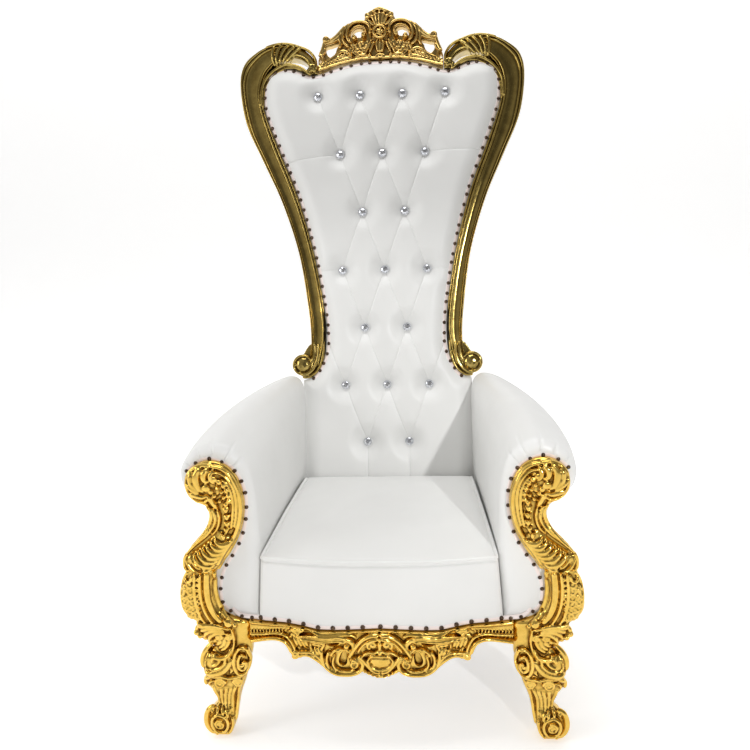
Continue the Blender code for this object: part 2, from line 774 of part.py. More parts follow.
LEG_PROFILE = (
    # up, inner edge, outer edge, reach to the front, reach to the back
    (-1.5, 7.4, 10.2, -0.4, 3.2),
    (0.7, 6.3, 10.5, 0.6, 4.0),
    (3.0, 4.9, 11.9, 1.3, 4.4),
    (5.5, 4.0, 12.1, 1.4, 4.3),
    (7.4, 3.6, 11.2, 0.8, 3.8),
    (8.8, 3.3, 9.7, 0.1, 3.4),
    (10.2, 3.0, 9.1, -0.3, 3.4),
    (11.6, 2.8, 9.6, 0.0, 3.6),
    (13.2, 2.5, 11.4, 0.6, 4.0),
    (15.0, 2.1, 12.4, 1.0, 4.2),
    (17.4, 1.6, 12.5, 1.2, 4.4),
    (19.5, 1.1, 12.3, 1.2, 4.5),
    (21.7, 0.4, 11.5, 0.9, 4.5),
    (23.6, 0.0, 10.0, 0.5, 4.5),
    (25.2, 0.0, 8.9, 0.4, 4.5),
    (27.2, 0.0, 12.0, 0.6, 4.5),
    (29.6, 0.0, 12.8, 0.8, 4.5),
    (31.4, 0.0, 13.6, 1.0, 4.5),
    (33.0, 4.4, 15.6, 1.2, 4.5),
    (35.4, 7.4, 16.6, 1.4, 4.5),
    (38.6, 8.2, 16.3, 1.5, 4.5),
    (41.5, 8.3, 15.6, 1.4, 4.5),
    (44.0, 7.5, 14.9, 1.3, 4.5),
    (47.0, 6.2, 14.4, 1.2, 4.5),
)
DRAWN_LEG_HEIGHT = 45.5
DRAWN_LEG_WIDTH = 16.6
DRAWN_LEG_DEPTH = 4.5
LEG_SECTION_SIDES = 16
LEG_SQUARENESS = 0.55


def leg_board():
    return Board((POST_INNER_X, 0, 0), LEG_WIDTH / DRAWN_LEG_WIDTH * 100, LEG_TOP / DRAWN_LEG_HEIGHT * 100)


def rounded_ring(board, up, inner, outer, front, back):
    """A rounded rectangle round the leg at one height."""
    ring = []
    for a in turn_angles(LEG_SECTION_SIDES):
        c, s = math.cos(a), math.sin(a)
        c = math.copysign(abs(c) ** LEG_SQUARENESS, c)
        s = math.copysign(abs(s) ** LEG_SQUARENESS, s)
        across = (inner + outer) / 2 + c * (outer - inner) / 2
        back_reach = back / DRAWN_LEG_DEPTH * LEG_DEPTH * 100
        forward = (front - back_reach) / 2 + s * (front + back_reach) / 2
        ring.append(board.at(across, up, forward))
    return ring


def leg_mesh():
    """The right front leg: scroll foot, knee with leaves, corner block, and the bulging post above it."""
    board = leg_board()
    bm = bmesh.new()
    add_loft(bm, [rounded_ring(board, *row) for row in curve_through(LEG_PROFILE, 1.6)])
    # foot scroll
    add_stroke(bm, board, spiral((9.2, 4.4), 2.4, 0.9, 100, -1.5), 0.5, forward=1.3)
    add_ball(bm, board, (9.2, 4.4), 0.9, forward=1.6)
    # volutes below the knee
    for across in (4.6, 8.8):
        add_stroke(bm, board, spiral((across, 16.0), 1.3, 0.8, 90, 1.0), 0.4, forward=1.3)
    # leaves of the knee, one inside the other
    for i in range(3):
        r = 4.2 - 1.2 * i
        leaf = [(6.0 + 0.4 * i, 24.4), (8.0 + r * 0.6, 21.8), (9.2 + r * 0.6, 19.4 + i), (8.4, 18.2 + i)]
        add_stroke(bm, board, leaf, 0.7, forward=1.0)
    add_stroke(bm, board, spiral((3.2, 21.8), 2.3, 0.9, -60, 1.2), 0.5, forward=0.9)
    # cuff: leaf lobes that spread under the bulging post
    for i in range(4):
        across = 3.9 + 2.1 * i
        lobe = [(across, 31.0), (across + 0.8, 28.8), (across + 0.2, 27.4)]
        add_stroke(bm, board, lobe, 1.0, 1.1, forward=0.9)
    # the post: long flutes, and a bunch of small leaves down its outer side
    for i in range(3):
        across = 8.8 + 1.9 * i
        flute = [(across - 0.6, 45.5), (across + 0.7, 41.0), (across + 0.4, 36.5), (across - 2.0, 33.4)]
        add_stroke(bm, board, flute, 0.75, 0.8, forward=1.5)
    for i in range(5):
        up = 43.0 - 2.2 * i
        add_ball(bm, board, (14.9 + 0.4 * math.sin(i * 1.1), up), 1.1, forward=0.9)
    add_ball(bm, board, (5.2, 33.0), 1.1, forward=0.9)
    return finish_mesh(bm, "leg")


ARM_FRONT_OUTLINE = (
    (6.0, 0.0),
    (4.3, 2.7),
    (2.2, 5.7),
    (0.5, 9.1),
    (-0.6, 12.6),
    (-1.1, 16.0),
    (-1.0, 18.5),
    (-0.6, 20.9),
    (0.4, 23.5),
    (2.2, 25.7),
    (4.6, 27.0),
    (7.1, 27.3),
    (9.6, 26.5),
    (11.5, 24.8),
    (12.2, 22.9),
    (12.1, 20.7),
    (11.0, 18.3),
    (9.0, 17.0),
    (7.0, 16.2),
    (6.4, 14.5),
    (7.4, 11.7),
    (9.1, 9.5),
    (11.5, 6.9),
    (13.5, 4.5),
    (14.3, 2.5),
    (14.4, 0.0),
    (14.0, -1.5),
    (7.0, -1.5),
)
DRAWN_ARM_FRONT_HEIGHT = 27.3


def arm_front_mesh():
    """The right arm front: scroll head, reeded stem with husks, nested leaves below."""
    scale = ARM_FRONT_HEIGHT / DRAWN_ARM_FRONT_HEIGHT * 100
    board = Board((POST_INNER_X, 0, LEG_TOP), scale, scale)
    bm = bmesh.new()
    face = ARM_FRONT_RELIEF * 100
    add_slab(bm, board, ARM_FRONT_OUTLINE, face, -ARM_FRONT_Y * 100 - 1)
    top = face + 0.4
    # reeds along the inner edge, over the head
    for i in range(2):
        inset = 0.7 + 1.3 * i
        reed = [(6.6 - inset * 0.2, 1.2), (3.0 + inset, 6.0), (0.1 + inset, 12.0)]
        reed += [(-0.6 + inset, 17.5), (0.6 + inset, 22.6)]
        reed += [(3.4 + inset * 0.4, 25.6 - inset * 0.6), (7.2, 26.6 - inset)]
        add_stroke(bm, board, reed, 0.6, 0.8, forward=top)
    # reed along the outer edge, down to the bulb
    outer = [(8.0, 16.6), (6.2, 15.2), (6.6, 11.8), (9.2, 8.6), (12.2, 5.6), (13.6, 2.4)]
    add_stroke(bm, board, outer, 0.7, 0.9, forward=top)
    # head: leaf lobes that swirl round a knob
    add_stroke(bm, board, spiral((8.2, 21.8), 3.9, 1.6, 100, -1.1), 1.0, 1.2, forward=top)
    add_ball(bm, board, (8.0, 21.6), 1.5, forward=top + 0.3)
    for across, up in ((3.2, 21.6), (4.0, 19.2), (2.4, 18.6)):
        add_ball(bm, board, (across, up), 1.2, forward=top)
    # husks in the channel
    for i in range(4):
        add_ball(bm, board, (2.9 + 0.1 * i, 16.6 - 2.0 * i), 0.95, forward=top - 0.3)
    # nested leaves
    for i in range(4):
        across, up = 3.6 + 1.7 * i, 9.0 - 1.7 * i
        leaf = [(across - 0.6, up), (across + 1.0, up - 2.2)]
        leaf += [(across + 3.6, up - 1.6), (across + 4.4, up + 0.6)]
        add_stroke(bm, board, leaf, 0.6, 0.9, forward=top)
    add_ball(bm, board, (12.6, 2.4), 1.7, forward=top - 0.6)
    return finish_mesh(bm, "arm_front")


# Apron, drawn from the middle of the chair and up from the floor

DRAWN_APRON_HALF = 31.5
DRAWN_FRAME_TOP = 32.55
DRAWN_APRON_HEIGHT = 15.5
APRON_TOP = (
    (0.0, 29.4),
    (5.4, 29.1),
    (10.2, 28.9),
    (14.5, 29.0),
    (18.2, 30.0),
    (22.0, 30.8),
    (27.7, 31.3),
    (31.5, 32.2),
)


def apron_top(x):
    """Height of the apron's upper edge at one place across the chair."""
    drawn = abs(x) * DRAWN_APRON_HALF / POST_INNER_X
    drop = (DRAWN_FRAME_TOP - interpolate(APRON_TOP, drawn)[0]) / DRAWN_APRON_HEIGHT * APRON_HEIGHT
    return FRAME_TOP - drop + APRON_ARCH * middle_share(x)


def middle_share(x):
    """One in the middle of the chair, none at the posts."""
    return 1 - (x / POST_INNER_X) ** 2


def apron_board(side=1):
    across = POST_INNER_X / DRAWN_APRON_HALF * 100
    up = APRON_HEIGHT / DRAWN_APRON_HEIGHT * 100
    return Board((0, 0, FRAME_TOP - DRAWN_FRAME_TOP * up / 100), across * side, up)


def apron_mesh():
    """The pierced front rail: an arched band by each leg, C-scrolls towards the middle, a cartouche in it."""
    bm = bmesh.new()
    for side in (1, -1):
        add_apron_half(bm, apron_board(side))
    add_apron_middle(bm, apron_board())
    for vertex in bm.verts:
        vertex.co.y -= APRON_BOW * middle_share(vertex.co.x)
        vertex.co.z += APRON_ARCH * middle_share(vertex.co.x)
    return finish_mesh(bm, "apron")


def add_apron_half(bm, board):
    back = -APRON_THICKNESS * 100 + 0.6
    under = [(33.0, 28.0), (27.0, 28.6), (22.0, 28.4), (18.0, 27.8)]
    under += [(14.5, 27.6), (10.0, 27.9), (5.0, 28.2), (0.0, 28.6)]
    add_slab(bm, board, [*APRON_TOP[:-1], (33.0, 32.4), *under], 0.6, back)
    # arched band beside the leg, and the cusp scroll at its end
    arch = [(33.0, 26.4), (29.6, 27.2), (26.2, 27.4), (23.8, 26.0), (22.4, 24.0), (20.6, 22.9)]
    add_stroke(bm, board, arch, 0.75, 1.6, forward=-0.6)
    spandrel = [(33, 26.4), (33, 29.5), (20, 29.6), (16.5, 25.0), (19.0, 23.4), (22.0, 24.4), (25.0, 27.0)]
    add_slab(bm, board, spandrel, 0.0, back)
    add_stroke(bm, board, spiral((20.0, 23.2), 1.0, 0.5, 60, -1.0), 0.6, 1.4, forward=0.2)
    # lower edge strap to the large scroll
    strap = [(19.0, 23.6), (15.8, 22.6), (13.0, 20.4), (10.4, 18.9), (7.4, 18.4)]
    add_stroke(bm, board, strap, 0.9, 1.5, forward=-0.4)
    add_slab(bm, board, [(20.5, 29.0), (13.8, 28.4), (12.2, 25.0), (13.0, 20.8), (17.0, 23.0)], -0.2, back)
    # large C-scroll round the lower opening
    add_stroke(bm, board, spiral((7.6, 21.8), 3.3, 1.4, -100, 1.35), 0.75, 1.5, forward=0.0)
    add_ball(bm, board, (7.2, 22.2), 1.2, forward=0.4)
    # upper scroll round the upper opening
    scroll = [(15.5, 27.6), (12.6, 28.2), (9.0, 28.4), (6.6, 27.0), (7.0, 25.2), (8.6, 25.2)]
    add_stroke(bm, board, scroll, 0.7, 1.4, forward=0.1)
    add_stroke(bm, board, [(13.0, 24.6), (10.8, 25.0), (9.4, 26.2)], 0.6, 1.3, forward=-0.2)
    # strap that crosses up to the middle
    add_stroke(bm, board, [(10.4, 22.4), (7.0, 25.2), (3.6, 28.6), (0.0, 29.4)], 0.7, 1.4, forward=0.2)


def add_apron_middle(bm, board):
    shield = [(-3.0, 26.6), (-3.6, 24.0), (-2.6, 21.4), (0, 20.2), (2.6, 21.4), (3.6, 24.0)]
    shield += [(3.0, 26.6), (0, 27.6)]
    add_slab(bm, board, shield, 0.6, -2.2)
    add_ball(bm, board, (0, 23.4), 2.1, forward=0.3, depth=0.9)
    for side in (1, -1):
        band = [(side * 3.8, 25.6), (side * 3.9, 22.0), (side * 2.0, 19.6), (0, 18.9)]
        add_stroke(bm, board, band, 0.65, 1.3, forward=0.1)
        hook = [(side * 6.0, 18.8), (side * 3.4, 19.0), (side * 1.4, 18.0)]
        add_stroke(bm, board, hook, 0.8, 1.3, forward=0.0)
        add_ball(bm, board, (side * 1.7, 26.4), 0.9, forward=0.8)
    for across in (-2.0, 0.0, 2.0):
        add_ball(bm, board, (across, 18.4 - 0.25 * (2 - abs(across))), 1.2, forward=0.4)


# Plain rails and rear legs


def side_rail_mesh():
    """The right side rail, with a lower edge that sinks in the middle."""
    bm = bmesh.new()
    start, end = LEG_DEPTH + GAP, REAR_RAIL_Y - GAP
    rings = []
    for i in range(9):
        share = i / 8
        low = RAIL_BOTTOM - RAIL_SAG * math.sin(math.pi * share) ** 2
        y = start + (end - start) * share
        x0, x1 = SIDE_RAIL_X, SIDE_RAIL_X + RAIL_THICKNESS
        top = FRAME_TOP - GAP
        shape = ((x0, low), (x1 - 0.006, low), (x1, low + 0.008))
        shape += ((x1, top - 0.012), (x1 - 0.006, top), (x0, top))
        rings.append([Vector((x, y, z)) for x, z in shape])
    add_loft(bm, rings)
    return finish_mesh(bm, "side_rail")


def rear_leg_mesh():
    """The right rear leg: a plain square leg that sweeps back to the floor."""
    bm = bmesh.new()
    half = REAR_LEG_SIZE / 2
    top = FRAME_TOP - GAP
    head = ARM_REAR_Y - half
    foot = head + REAR_LEG_RAKE
    rings = []
    for i in range(8):
        share = i / 7
        y = foot + (head - foot) * (1 - (1 - share) ** 1.8)
        size = half * (0.72 + 0.28 * share)
        x = REAR_LEG_X + 0.012 * (1 - share)
        corners = ((-1, -0.7), (-0.7, -1), (0.7, -1), (1, -0.7), (1, 0.7), (0.7, 1), (-0.7, 1), (-1, 0.7))
        rings.append([Vector((x + a * size, y + b * size, top * share)) for a, b in corners])
    add_loft(bm, rings)
    return finish_mesh(bm, "rear_leg")


# The whole chair


def build():
    for obj in list(bpy.data.objects):
        bpy.data.objects.remove(obj)
    gilt = principled("gilt", (0.83, 0.61, 0.22), 0.28, 1.0)
    leather = principled("white_leather", (0.88, 0.88, 0.86), 0.42, 0.0)
    crystal = principled("crystal", (0.86, 0.88, 0.9), 0.08, 0.4)
    wood = principled("dark_cloth", (0.05, 0.05, 0.05), 0.9, 0.0)

    chair = bpy.data.objects.new("chair", None)
    bpy.context.scene.collection.objects.link(chair)
    back = bpy.data.objects.new("back", None)
    bpy.context.scene.collection.objects.link(back)
    back.parent = chair
    back.location = (0, BACK_Y, BACK_Z)
    back.rotation_euler = (-BACK_LEAN, 0, 0)

    build_back(back, gilt, leather, crystal)
    build_seat_and_arms(chair, leather, wood)
    build_base(chair, gilt)
    stand_over_origin(chair)


def stand_over_origin(chair):
    """Moves the chair so that the middle of its bounding box is over the origin."""
    bpy.context.view_layer.update()
    reach = []
    for obj in bpy.data.objects:
        if obj.type == "MESH" and not obj.hide_render:
            reach += [(obj.matrix_world @ v.co).y for v in obj.data.vertices]
    chair.location.y = -(min(reach) + max(reach)) / 2


def cutting_box(name, parent, x=(-1, 1), y=(-1, 1), z=(-1, 2)):
    """A cutter that fills the stated ranges."""
    low, high = zip(x, y, z)
    return cutter(name, box_mesh(name, low, high), parent)


def build_back(back, gilt, leather, crystal):
    bm = bmesh.new()
    add_prism(bm, leather_outline(grow=GAP), -0.2, FRAME_DEPTH + 0.05)
    room = cutter("leather_room", finish_mesh(bm, "leather_room"), back)
    behind = cutting_box("behind_frame", back, y=(FRAME_DEPTH, 1))
    seam = back_board().at(18.0, 0).x
    inside_seam = cutting_box("inside_seam", back, x=(-1, seam + GAP))
    right_of_crest = cutting_box("right_of_crest", back, x=(seam, 1))
    left_of_crest = cutting_box("left_of_crest", back, x=(-1, -seam))

    stile = link("back_stile_right", stile_mesh(), gilt, back)
    carve(stile, STILE_TRIANGLES, (room, behind, inside_seam))
    apply_modifiers(stile)
    mirrored_copy(stile, "back_stile_left")
    crest = link("crest", crest_mesh(), gilt, back)
    carve(crest, CREST_TRIANGLES, (room, behind, right_of_crest, left_of_crest), symmetric=True)
    apply_modifiers(crest)

    link("back_pad", pad_mesh(), leather, back)
    link("back_shell", shell_mesh(), leather, back)
    shape = button_mesh()
    for i, (x, up) in enumerate(button_places()):
        button = link(f"button_{i + 1:02d}", shape, crystal, back)
        button.location = (x, -GAP, up)


def build_seat_and_arms(chair, leather, wood):
    arm = link("arm_right", arm_mesh(), leather, chair)
    mirrored_copy(arm, "arm_left")
    link("seat", seat_mesh(), leather, chair)
    low = (-SIDE_RAIL_X + GAP, LEG_DEPTH + GAP, BOARD_TOP - BOARD_THICKNESS)
    high = (SIDE_RAIL_X - GAP, REAR_RAIL_Y - GAP, BOARD_TOP)
    link("seat_frame", box_mesh("seat_frame", low, high), wood, chair)


def build_base(chair, gilt):
    floor = cutting_box("floor", chair, z=(-1, 0))
    above = cutting_box("above_leg", chair, z=(LEG_TOP, 1))
    below = cutting_box("below_arm_front", chair, z=(-1, LEG_TOP + GAP))
    behind = cutting_box("behind_arm_front", chair, y=(ARM_FRONT_Y - GAP, 1), z=(FRAME_TOP - GAP, 1))
    behind_leg = cutting_box("behind_leg", chair, y=(LEG_DEPTH, 1))
    inside = cutting_box("inside_post", chair, x=(-1, POST_INNER_X + GAP), z=(0.2, LEG_TOP))

    leg = link("front_leg_right", leg_mesh(), gilt, chair)
    carve(leg, LEG_TRIANGLES, (floor, above, behind, behind_leg, inside))
    apply_modifiers(leg)
    mirrored_copy(leg, "front_leg_left")
    arm_front = link("arm_front_right", arm_front_mesh(), gilt, chair)
    carve(arm_front, ARM_FRONT_TRIANGLES, (below, behind))
    apply_modifiers(arm_front)
    mirrored_copy(arm_front, "arm_front_left")

    end = cutting_box("apron_end", chair, x=(POST_INNER_X, 1))
    far_end = cutting_box("apron_far_end", chair, x=(-1, -POST_INNER_X))
    bm = bmesh.new()
    half = [Vector((POST_INNER_X * i / 12, 0, apron_top(POST_INNER_X * i / 12))) for i in range(13)]
    edge = [*[Vector((-p.x, 0, p.z)) for p in reversed(half[1:])], *half]
    above = [Vector((x, 0, z)) for x, z in ((1, FRAME_TOP + 0.1), (1, 1), (-1, 1), (-1, FRAME_TOP + 0.1))]
    add_prism(bm, [*edge, *above], -1, 1)
    above_apron = cutter("above_apron", finish_mesh(bm, "above_apron"), chair)
    apron = link("front_apron", apron_mesh(), gilt, chair)
    carve(apron, APRON_TRIANGLES, (end, far_end, above_apron), symmetric=True)
    apply_modifiers(apron)

    rail = link("side_rail_right", side_rail_mesh(), gilt, chair)
    mirrored_copy(rail, "side_rail_left")
    rear_leg = link("rear_leg_right", rear_leg_mesh(), gilt, chair)
    mirrored_copy(rear_leg, "rear_leg_left")
    inner = REAR_LEG_X - REAR_LEG_SIZE / 2 - GAP
    low = (-inner, REAR_RAIL_Y, RAIL_BOTTOM)
    high = (inner, REAR_RAIL_Y + RAIL_THICKNESS, BOARD_TOP)
    link("rear_rail", box_mesh("rear_rail", low, high), gilt, chair)


build()
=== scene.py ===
"""The looks of a high-backed throne: carved gilt frame, white leather upholstery, a tufted back with crystal buttons.

Metres, +Z up. The chair faces -Y and +X is on the right of someone who looks at its front.
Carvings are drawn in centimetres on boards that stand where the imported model's nodes are.
"""

import math
import random

import bmesh
import bpy
import numpy as np
from mathutils import Matrix, Vector, noise
from mathutils.bvhtree import BVHTree
from mathutils.geometry import delaunay_2d_cdt


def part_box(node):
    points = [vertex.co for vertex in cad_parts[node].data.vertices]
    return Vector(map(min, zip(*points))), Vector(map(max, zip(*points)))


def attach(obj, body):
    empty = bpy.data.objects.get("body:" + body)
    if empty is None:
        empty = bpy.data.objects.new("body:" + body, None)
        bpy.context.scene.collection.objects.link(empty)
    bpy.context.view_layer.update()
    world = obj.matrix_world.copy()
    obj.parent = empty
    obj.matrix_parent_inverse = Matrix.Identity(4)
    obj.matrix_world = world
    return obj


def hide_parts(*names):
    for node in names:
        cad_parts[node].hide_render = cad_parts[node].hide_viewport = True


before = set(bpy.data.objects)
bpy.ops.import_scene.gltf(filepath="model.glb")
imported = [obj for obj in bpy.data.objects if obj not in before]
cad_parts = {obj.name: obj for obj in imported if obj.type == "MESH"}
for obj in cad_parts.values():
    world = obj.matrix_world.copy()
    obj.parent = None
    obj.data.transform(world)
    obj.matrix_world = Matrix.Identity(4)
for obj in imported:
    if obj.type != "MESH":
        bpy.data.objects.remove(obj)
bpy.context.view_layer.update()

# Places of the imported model
FRONT_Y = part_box("side_rail_right")[0].y - 0.0454
LEG_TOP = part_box("front_leg_right")[1].z
FRAME_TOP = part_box("arm_right")[0].z
POST_X = 0.315
SEAT_HEIGHT = 0.469
BACK_LEAN = math.radians(12.0)
BACK_PLACE = Matrix.Translation((0, FRONT_Y + 0.522, 0.45)) @ Matrix.Rotation(-BACK_LEAN, 4, "X")
FRONT_PLACE = Matrix.Translation((0, FRONT_Y, 0))
ARM_FRONT_Y = 0.0124
FRAME_DEPTH = 0.048
CREST_HALF = 0.18
STILE_LIMIT = 0.1806
GAP = 0.0005
BOUNDLESS = 9

# Detail
VOXEL = 0.0018
STROKE_SIDES = 12
LEG_SIDES = 32
NAIL_SIDES = 12
CORD_SIDES = 10
BUTTON_SIDES = 14
FACETS = 10


# Camera


def set_camera():
    """The photograph's viewpoint."""
    yaw, pitch, roll = 0.0791, 0.2559, 0.0389
    ahead = Vector((-math.sin(yaw) * math.cos(pitch), math.cos(yaw) * math.cos(pitch), -math.sin(pitch)))
    level = Vector((math.cos(yaw), math.sin(yaw), 0))
    above = level.cross(ahead)
    across = level * math.cos(roll) - above * math.sin(roll)
    up = level * math.sin(roll) + above * math.cos(roll)
    camera = bpy.data.objects.new("camera", bpy.data.cameras.new("camera"))
    camera.data.lens = 40.52
    camera.data.sensor_width = 36.0
    place = Matrix((across, up, -ahead)).transposed().to_4x4()
    place.translation = (0.1528, FRONT_Y - 1.7872, 1.3929)
    camera.matrix_world = place
    bpy.context.scene.collection.objects.link(camera)
    bpy.context.scene.camera = camera


set_camera()


# Curves and shapes


def curve_through(points, step):
    """Points about step apart on a smooth curve through the given ones, of any dimension."""
    points = [Vector(p) for p in points]
    ends = [2 * points[0] - points[1], *points, 2 * points[-1] - points[-2]]
    found = []
    for a, b, c, d in zip(ends, ends[1:], ends[2:], ends[3:]):
        count = max(1, round((c - b).length / step))
        for i in range(count):
            t = i / count
            bend = (2 * a - 5 * b + 4 * c - d) * t**2 + (3 * b - a - 3 * c + d) * t**3
            found.append(0.5 * (2 * b + (c - a) * t + bend))
    return [*found, points[-1]]


def even_path(points, spacing):
    """Points at an even spacing along a polyline, ends included."""
    lengths = [0.0]
    for a, b in zip(points, points[1:]):
        lengths.append(lengths[-1] + (b - a).length)
    count = max(1, round(lengths[-1] / spacing))
    found, k = [], 0
    for i in range(count + 1):
        at = lengths[-1] * i / count
        while k < len(lengths) - 2 and lengths[k + 1] < at:
            k += 1
        share = (at - lengths[k]) / max(1e-9, lengths[k + 1] - lengths[k])
        found.append(points[k].lerp(points[k + 1], min(1.0, share)))
    return found


def spiral(centre, start_radius, end_radius, start_angle, turns):
    """Points of a spiral, for a volute. Angles are in degrees, anticlockwise from across."""
    count = max(8, round(abs(turns) * 14))
    found = []
    for i in range(count + 1):
        share = i / count
        angle = math.radians(start_angle + 360 * turns * share)
        radius = start_radius + (end_radius - start_radius) * share
        found.append((centre[0] + radius * math.cos(angle), centre[1] + radius * math.sin(angle)))
    return found


def circle(count, turn=0.0):
    """The cosine and the sine of evenly spaced angles."""
    angles = [2 * math.pi * k / count + turn for k in range(count)]
    return [(math.cos(angle), math.sin(angle)) for angle in angles]


def with_mirror_image(half):
    """A closed outline from its right half, which ends on the middle line."""
    return [*half, *[Vector((-p.x, p.y)) for p in reversed(half[:-1])]]


def is_inside(p, loop):
    """Whether a flat point lies within a closed outline."""
    inside = False
    for a, b in zip(loop, [*loop[1:], loop[0]]):
        if (a[1] > p[1]) != (b[1] > p[1]) and p[0] < a[0] + (b[0] - a[0]) * (p[1] - a[1]) / (b[1] - a[1]):
            inside = not inside
    return inside


def add_loft(bm, rings, closed=False):
    """A closed solid through rings of points, each with as many points as the others."""
    made = [[bm.verts.new(p) for p in ring] for ring in rings]
    pairs = list(zip(made, made[1:])) + ([(made[-1], made[0])] if closed else [])
    for low, high in pairs:
        for i in range(len(low)):
            j = (i + 1) % len(low)
            bm.faces.new((low[i], low[j], high[j], high[i]))
    if not closed:
        bm.faces.new(list(reversed(made[0])))
        bm.faces.new(made[-1])
    return made


def extruded(bm, faces):
    """Copies a sheet of faces, with walls between, and gives the points of the copy."""
    made = bmesh.ops.extrude_face_region(bm, geom=faces)["geom"]
    return [item for item in made if isinstance(item, bmesh.types.BMVert)]


def surface_tree(mesh):
    return BVHTree.FromPolygons([v.co for v in mesh.vertices], [p.vertices for p in mesh.polygons])


def swelling(share, taper):
    """The width of a stroke along its length, from its start, middle and end widths."""
    a, b, c = taper
    return a * (1 - share) * (1 - 2 * share) + b * 4 * share * (1 - share) + c * share * (2 * share - 1)


class Carving:
    """Overlapping slabs, ridges and balls drawn on a board, in centimetres, later joined into one solid."""

    def __init__(self, origin=(0.0, 0.0, 0.0), side=1, bold=1.0):
        self.bm = bmesh.new()
        self.bold = bold
        self.origin = Vector(origin)
        self.side = side
        self.tree = None

    def at(self, across, up, forward):
        return self.origin + Vector((across * self.side / 100, -forward / 100, up / 100))

    def press(self):
        """From now on ridges and balls lie on what is there already."""
        self.tree = BVHTree.FromBMesh(self.bm)

    def level(self, across, up, forward):
        """The height of a mark: its own, over what was pressed, or None beside that."""
        if self.tree is None:
            return forward
        start = self.at(across, up, 20.0)
        hit = self.tree.ray_cast(start, Vector((0, 1, 0)))[0]
        if hit is None:
            return None
        return (self.origin.y - hit.y) * 100 + forward

    def slab(self, outline, front, back, step=0.8, rounding=0.0):
        """A block with a smooth outline, its front edge bevelled by the rounding."""
        path = curve_through([*outline, outline[0]], step)[:-1]
        middle = sum(path, Vector((0, 0))) / len(path)
        rings = [[self.at(p[0], p[1], back) for p in path]]
        if rounding:
            rings.append([self.at(p[0], p[1], front - rounding) for p in path])
            inset = []
            for i, p in enumerate(path):
                along = path[(i + 1) % len(path)] - path[i - 1]
                normal = Vector((-along[1], along[0])).normalized() * rounding
                q = p + normal
                if (q - middle).length > (p - middle).length:
                    q = p - normal
                inset.append(self.at(q[0], q[1], front))
            rings.append(inset)
        else:
            rings.append([self.at(p[0], p[1], front) for p in path])
        add_loft(self.bm, rings)

    def stroke(self, points, radius, depth=None, forward=0.0, taper=(1, 1, 1), step=0.45):
        """A ridge along a path. A point may state its own height, and taper gives the ends and the middle."""
        depth = radius if depth is None else depth
        radius *= self.bold
        path = curve_through([(p[0], p[1], p[2] if len(p) > 2 else forward) for p in points], step)
        rings, last = [], None
        for i, p in enumerate(path):
            along = path[min(i + 1, len(path) - 1)] - path[max(i - 1, 0)]
            side = Vector((-along[1], along[0])).normalized()
            width = max(0.12, swelling(i / (len(path) - 1), taper))
            if i in (0, len(path) - 1):
                width *= 0.55
            height = self.level(*p)
            if height is None:
                height = p[2] if last is None else last
            last = height
            ring = []
            for c, s in circle(STROKE_SIDES):
                out = c * radius * width
                ring.append(self.at(p[0] + side[0] * out, p[1] + side[1] * out, height + s * depth * width))
            rings.append(ring)
        add_loft(self.bm, rings)

    def ball(self, across, up, radius, forward=0.0, depth=None, squeeze=1.0):
        """A round or flattened lump. Squeeze makes it lower than wide."""
        depth = radius if depth is None else depth
        height = self.level(across, up, forward)
        height = forward if height is None else height
        place = Matrix.Translation(self.at(across, up, height))
        shape = Matrix.Diagonal((radius / 100, depth / 100, radius * squeeze / 100, 1.0))
        bmesh.ops.create_icosphere(self.bm, subdivisions=2, radius=1.0, matrix=place @ shape)

    def plate(self, outline, holes, front, back):
        """A flat board with openings."""
        loops = [[Vector(p[:2]) for p in curve_through([*loop, loop[0]], 0.5)[:-1]] for loop in (outline, *holes)]
        points, edges = [], []
        for loop in loops:
            edges += [(len(points) + i, len(points) + (i + 1) % len(loop)) for i in range(len(loop))]
            points += loop
        coords, _, faces, *_ = delaunay_2d_cdt(points, edges, [], 1, 1e-5)
        made = [self.bm.verts.new(self.at(c.x, c.y, front)) for c in coords]
        face_list = []
        for face in faces:
            middle = sum((coords[i] for i in face), Vector((0, 0))) / 3
            if len(set(face)) == 3 and not any(is_inside(middle, loop) for loop in loops[1:]):
                face_list.append(self.bm.faces.new([made[i] for i in face]))
        for v in extruded(self.bm, face_list):
            v.co.y = self.origin.y - back / 100
        loose = [v for v in made if not v.link_faces]
        bmesh.ops.delete(self.bm, geom=loose, context="VERTS")

    def ridges(self, lines, radius, depth=None, **how):
        """Several like strokes."""
        for line in lines:
            self.stroke(line, radius, depth, **how)

    def ring(self, points, radius, depth=None, **how):
        """A stroke that closes on itself."""
        self.stroke([*points, points[0], points[1]], radius, depth, **how)

    def flower(self, across, up, size, forward=0.0):
        """A small blossom of five petals round a bud."""
        for k in range(5):
            angle = math.radians(72 * k + 40 * across)
            self.ball(across + 0.6 * size * math.cos(angle), up + 0.6 * size * math.sin(angle), 0.45 * size, forward)
        self.ball(across, up, 0.38 * size, forward + 0.3 * size)

    def scroll(self, centre, start_radius, end_radius, start_angle, turns, radius, **how):
        """A stroke along a spiral."""
        self.stroke(spiral(centre, start_radius, end_radius, start_angle, turns), radius, **how)

    def ease_forward(self, start, limit):
        """Lets what stands further forward than start come closer and closer to a limit, both in centimetres."""
        room = limit - start
        for v in self.bm.verts:
            over = (self.origin.y - v.co.y) * 100 - start
            if over > 0:
                v.co.y = self.origin.y - (start + room * (1 - math.exp(-over / room))) / 100

    def clamp(self, low, high):
        """Keeps every point within a box."""
        for v in self.bm.verts:
            for k in range(3):
                v.co[k] = min(high[k], max(low[k], v.co[k]))


# Objects


def finish_mesh(bm, name):
    """Closes the editing of a shape, with all faces turned outward."""
    bmesh.ops.recalc_face_normals(bm, faces=bm.faces)
    mesh = bpy.data.meshes.new(name)
    bm.to_mesh(mesh)
    bm.free()
    return mesh


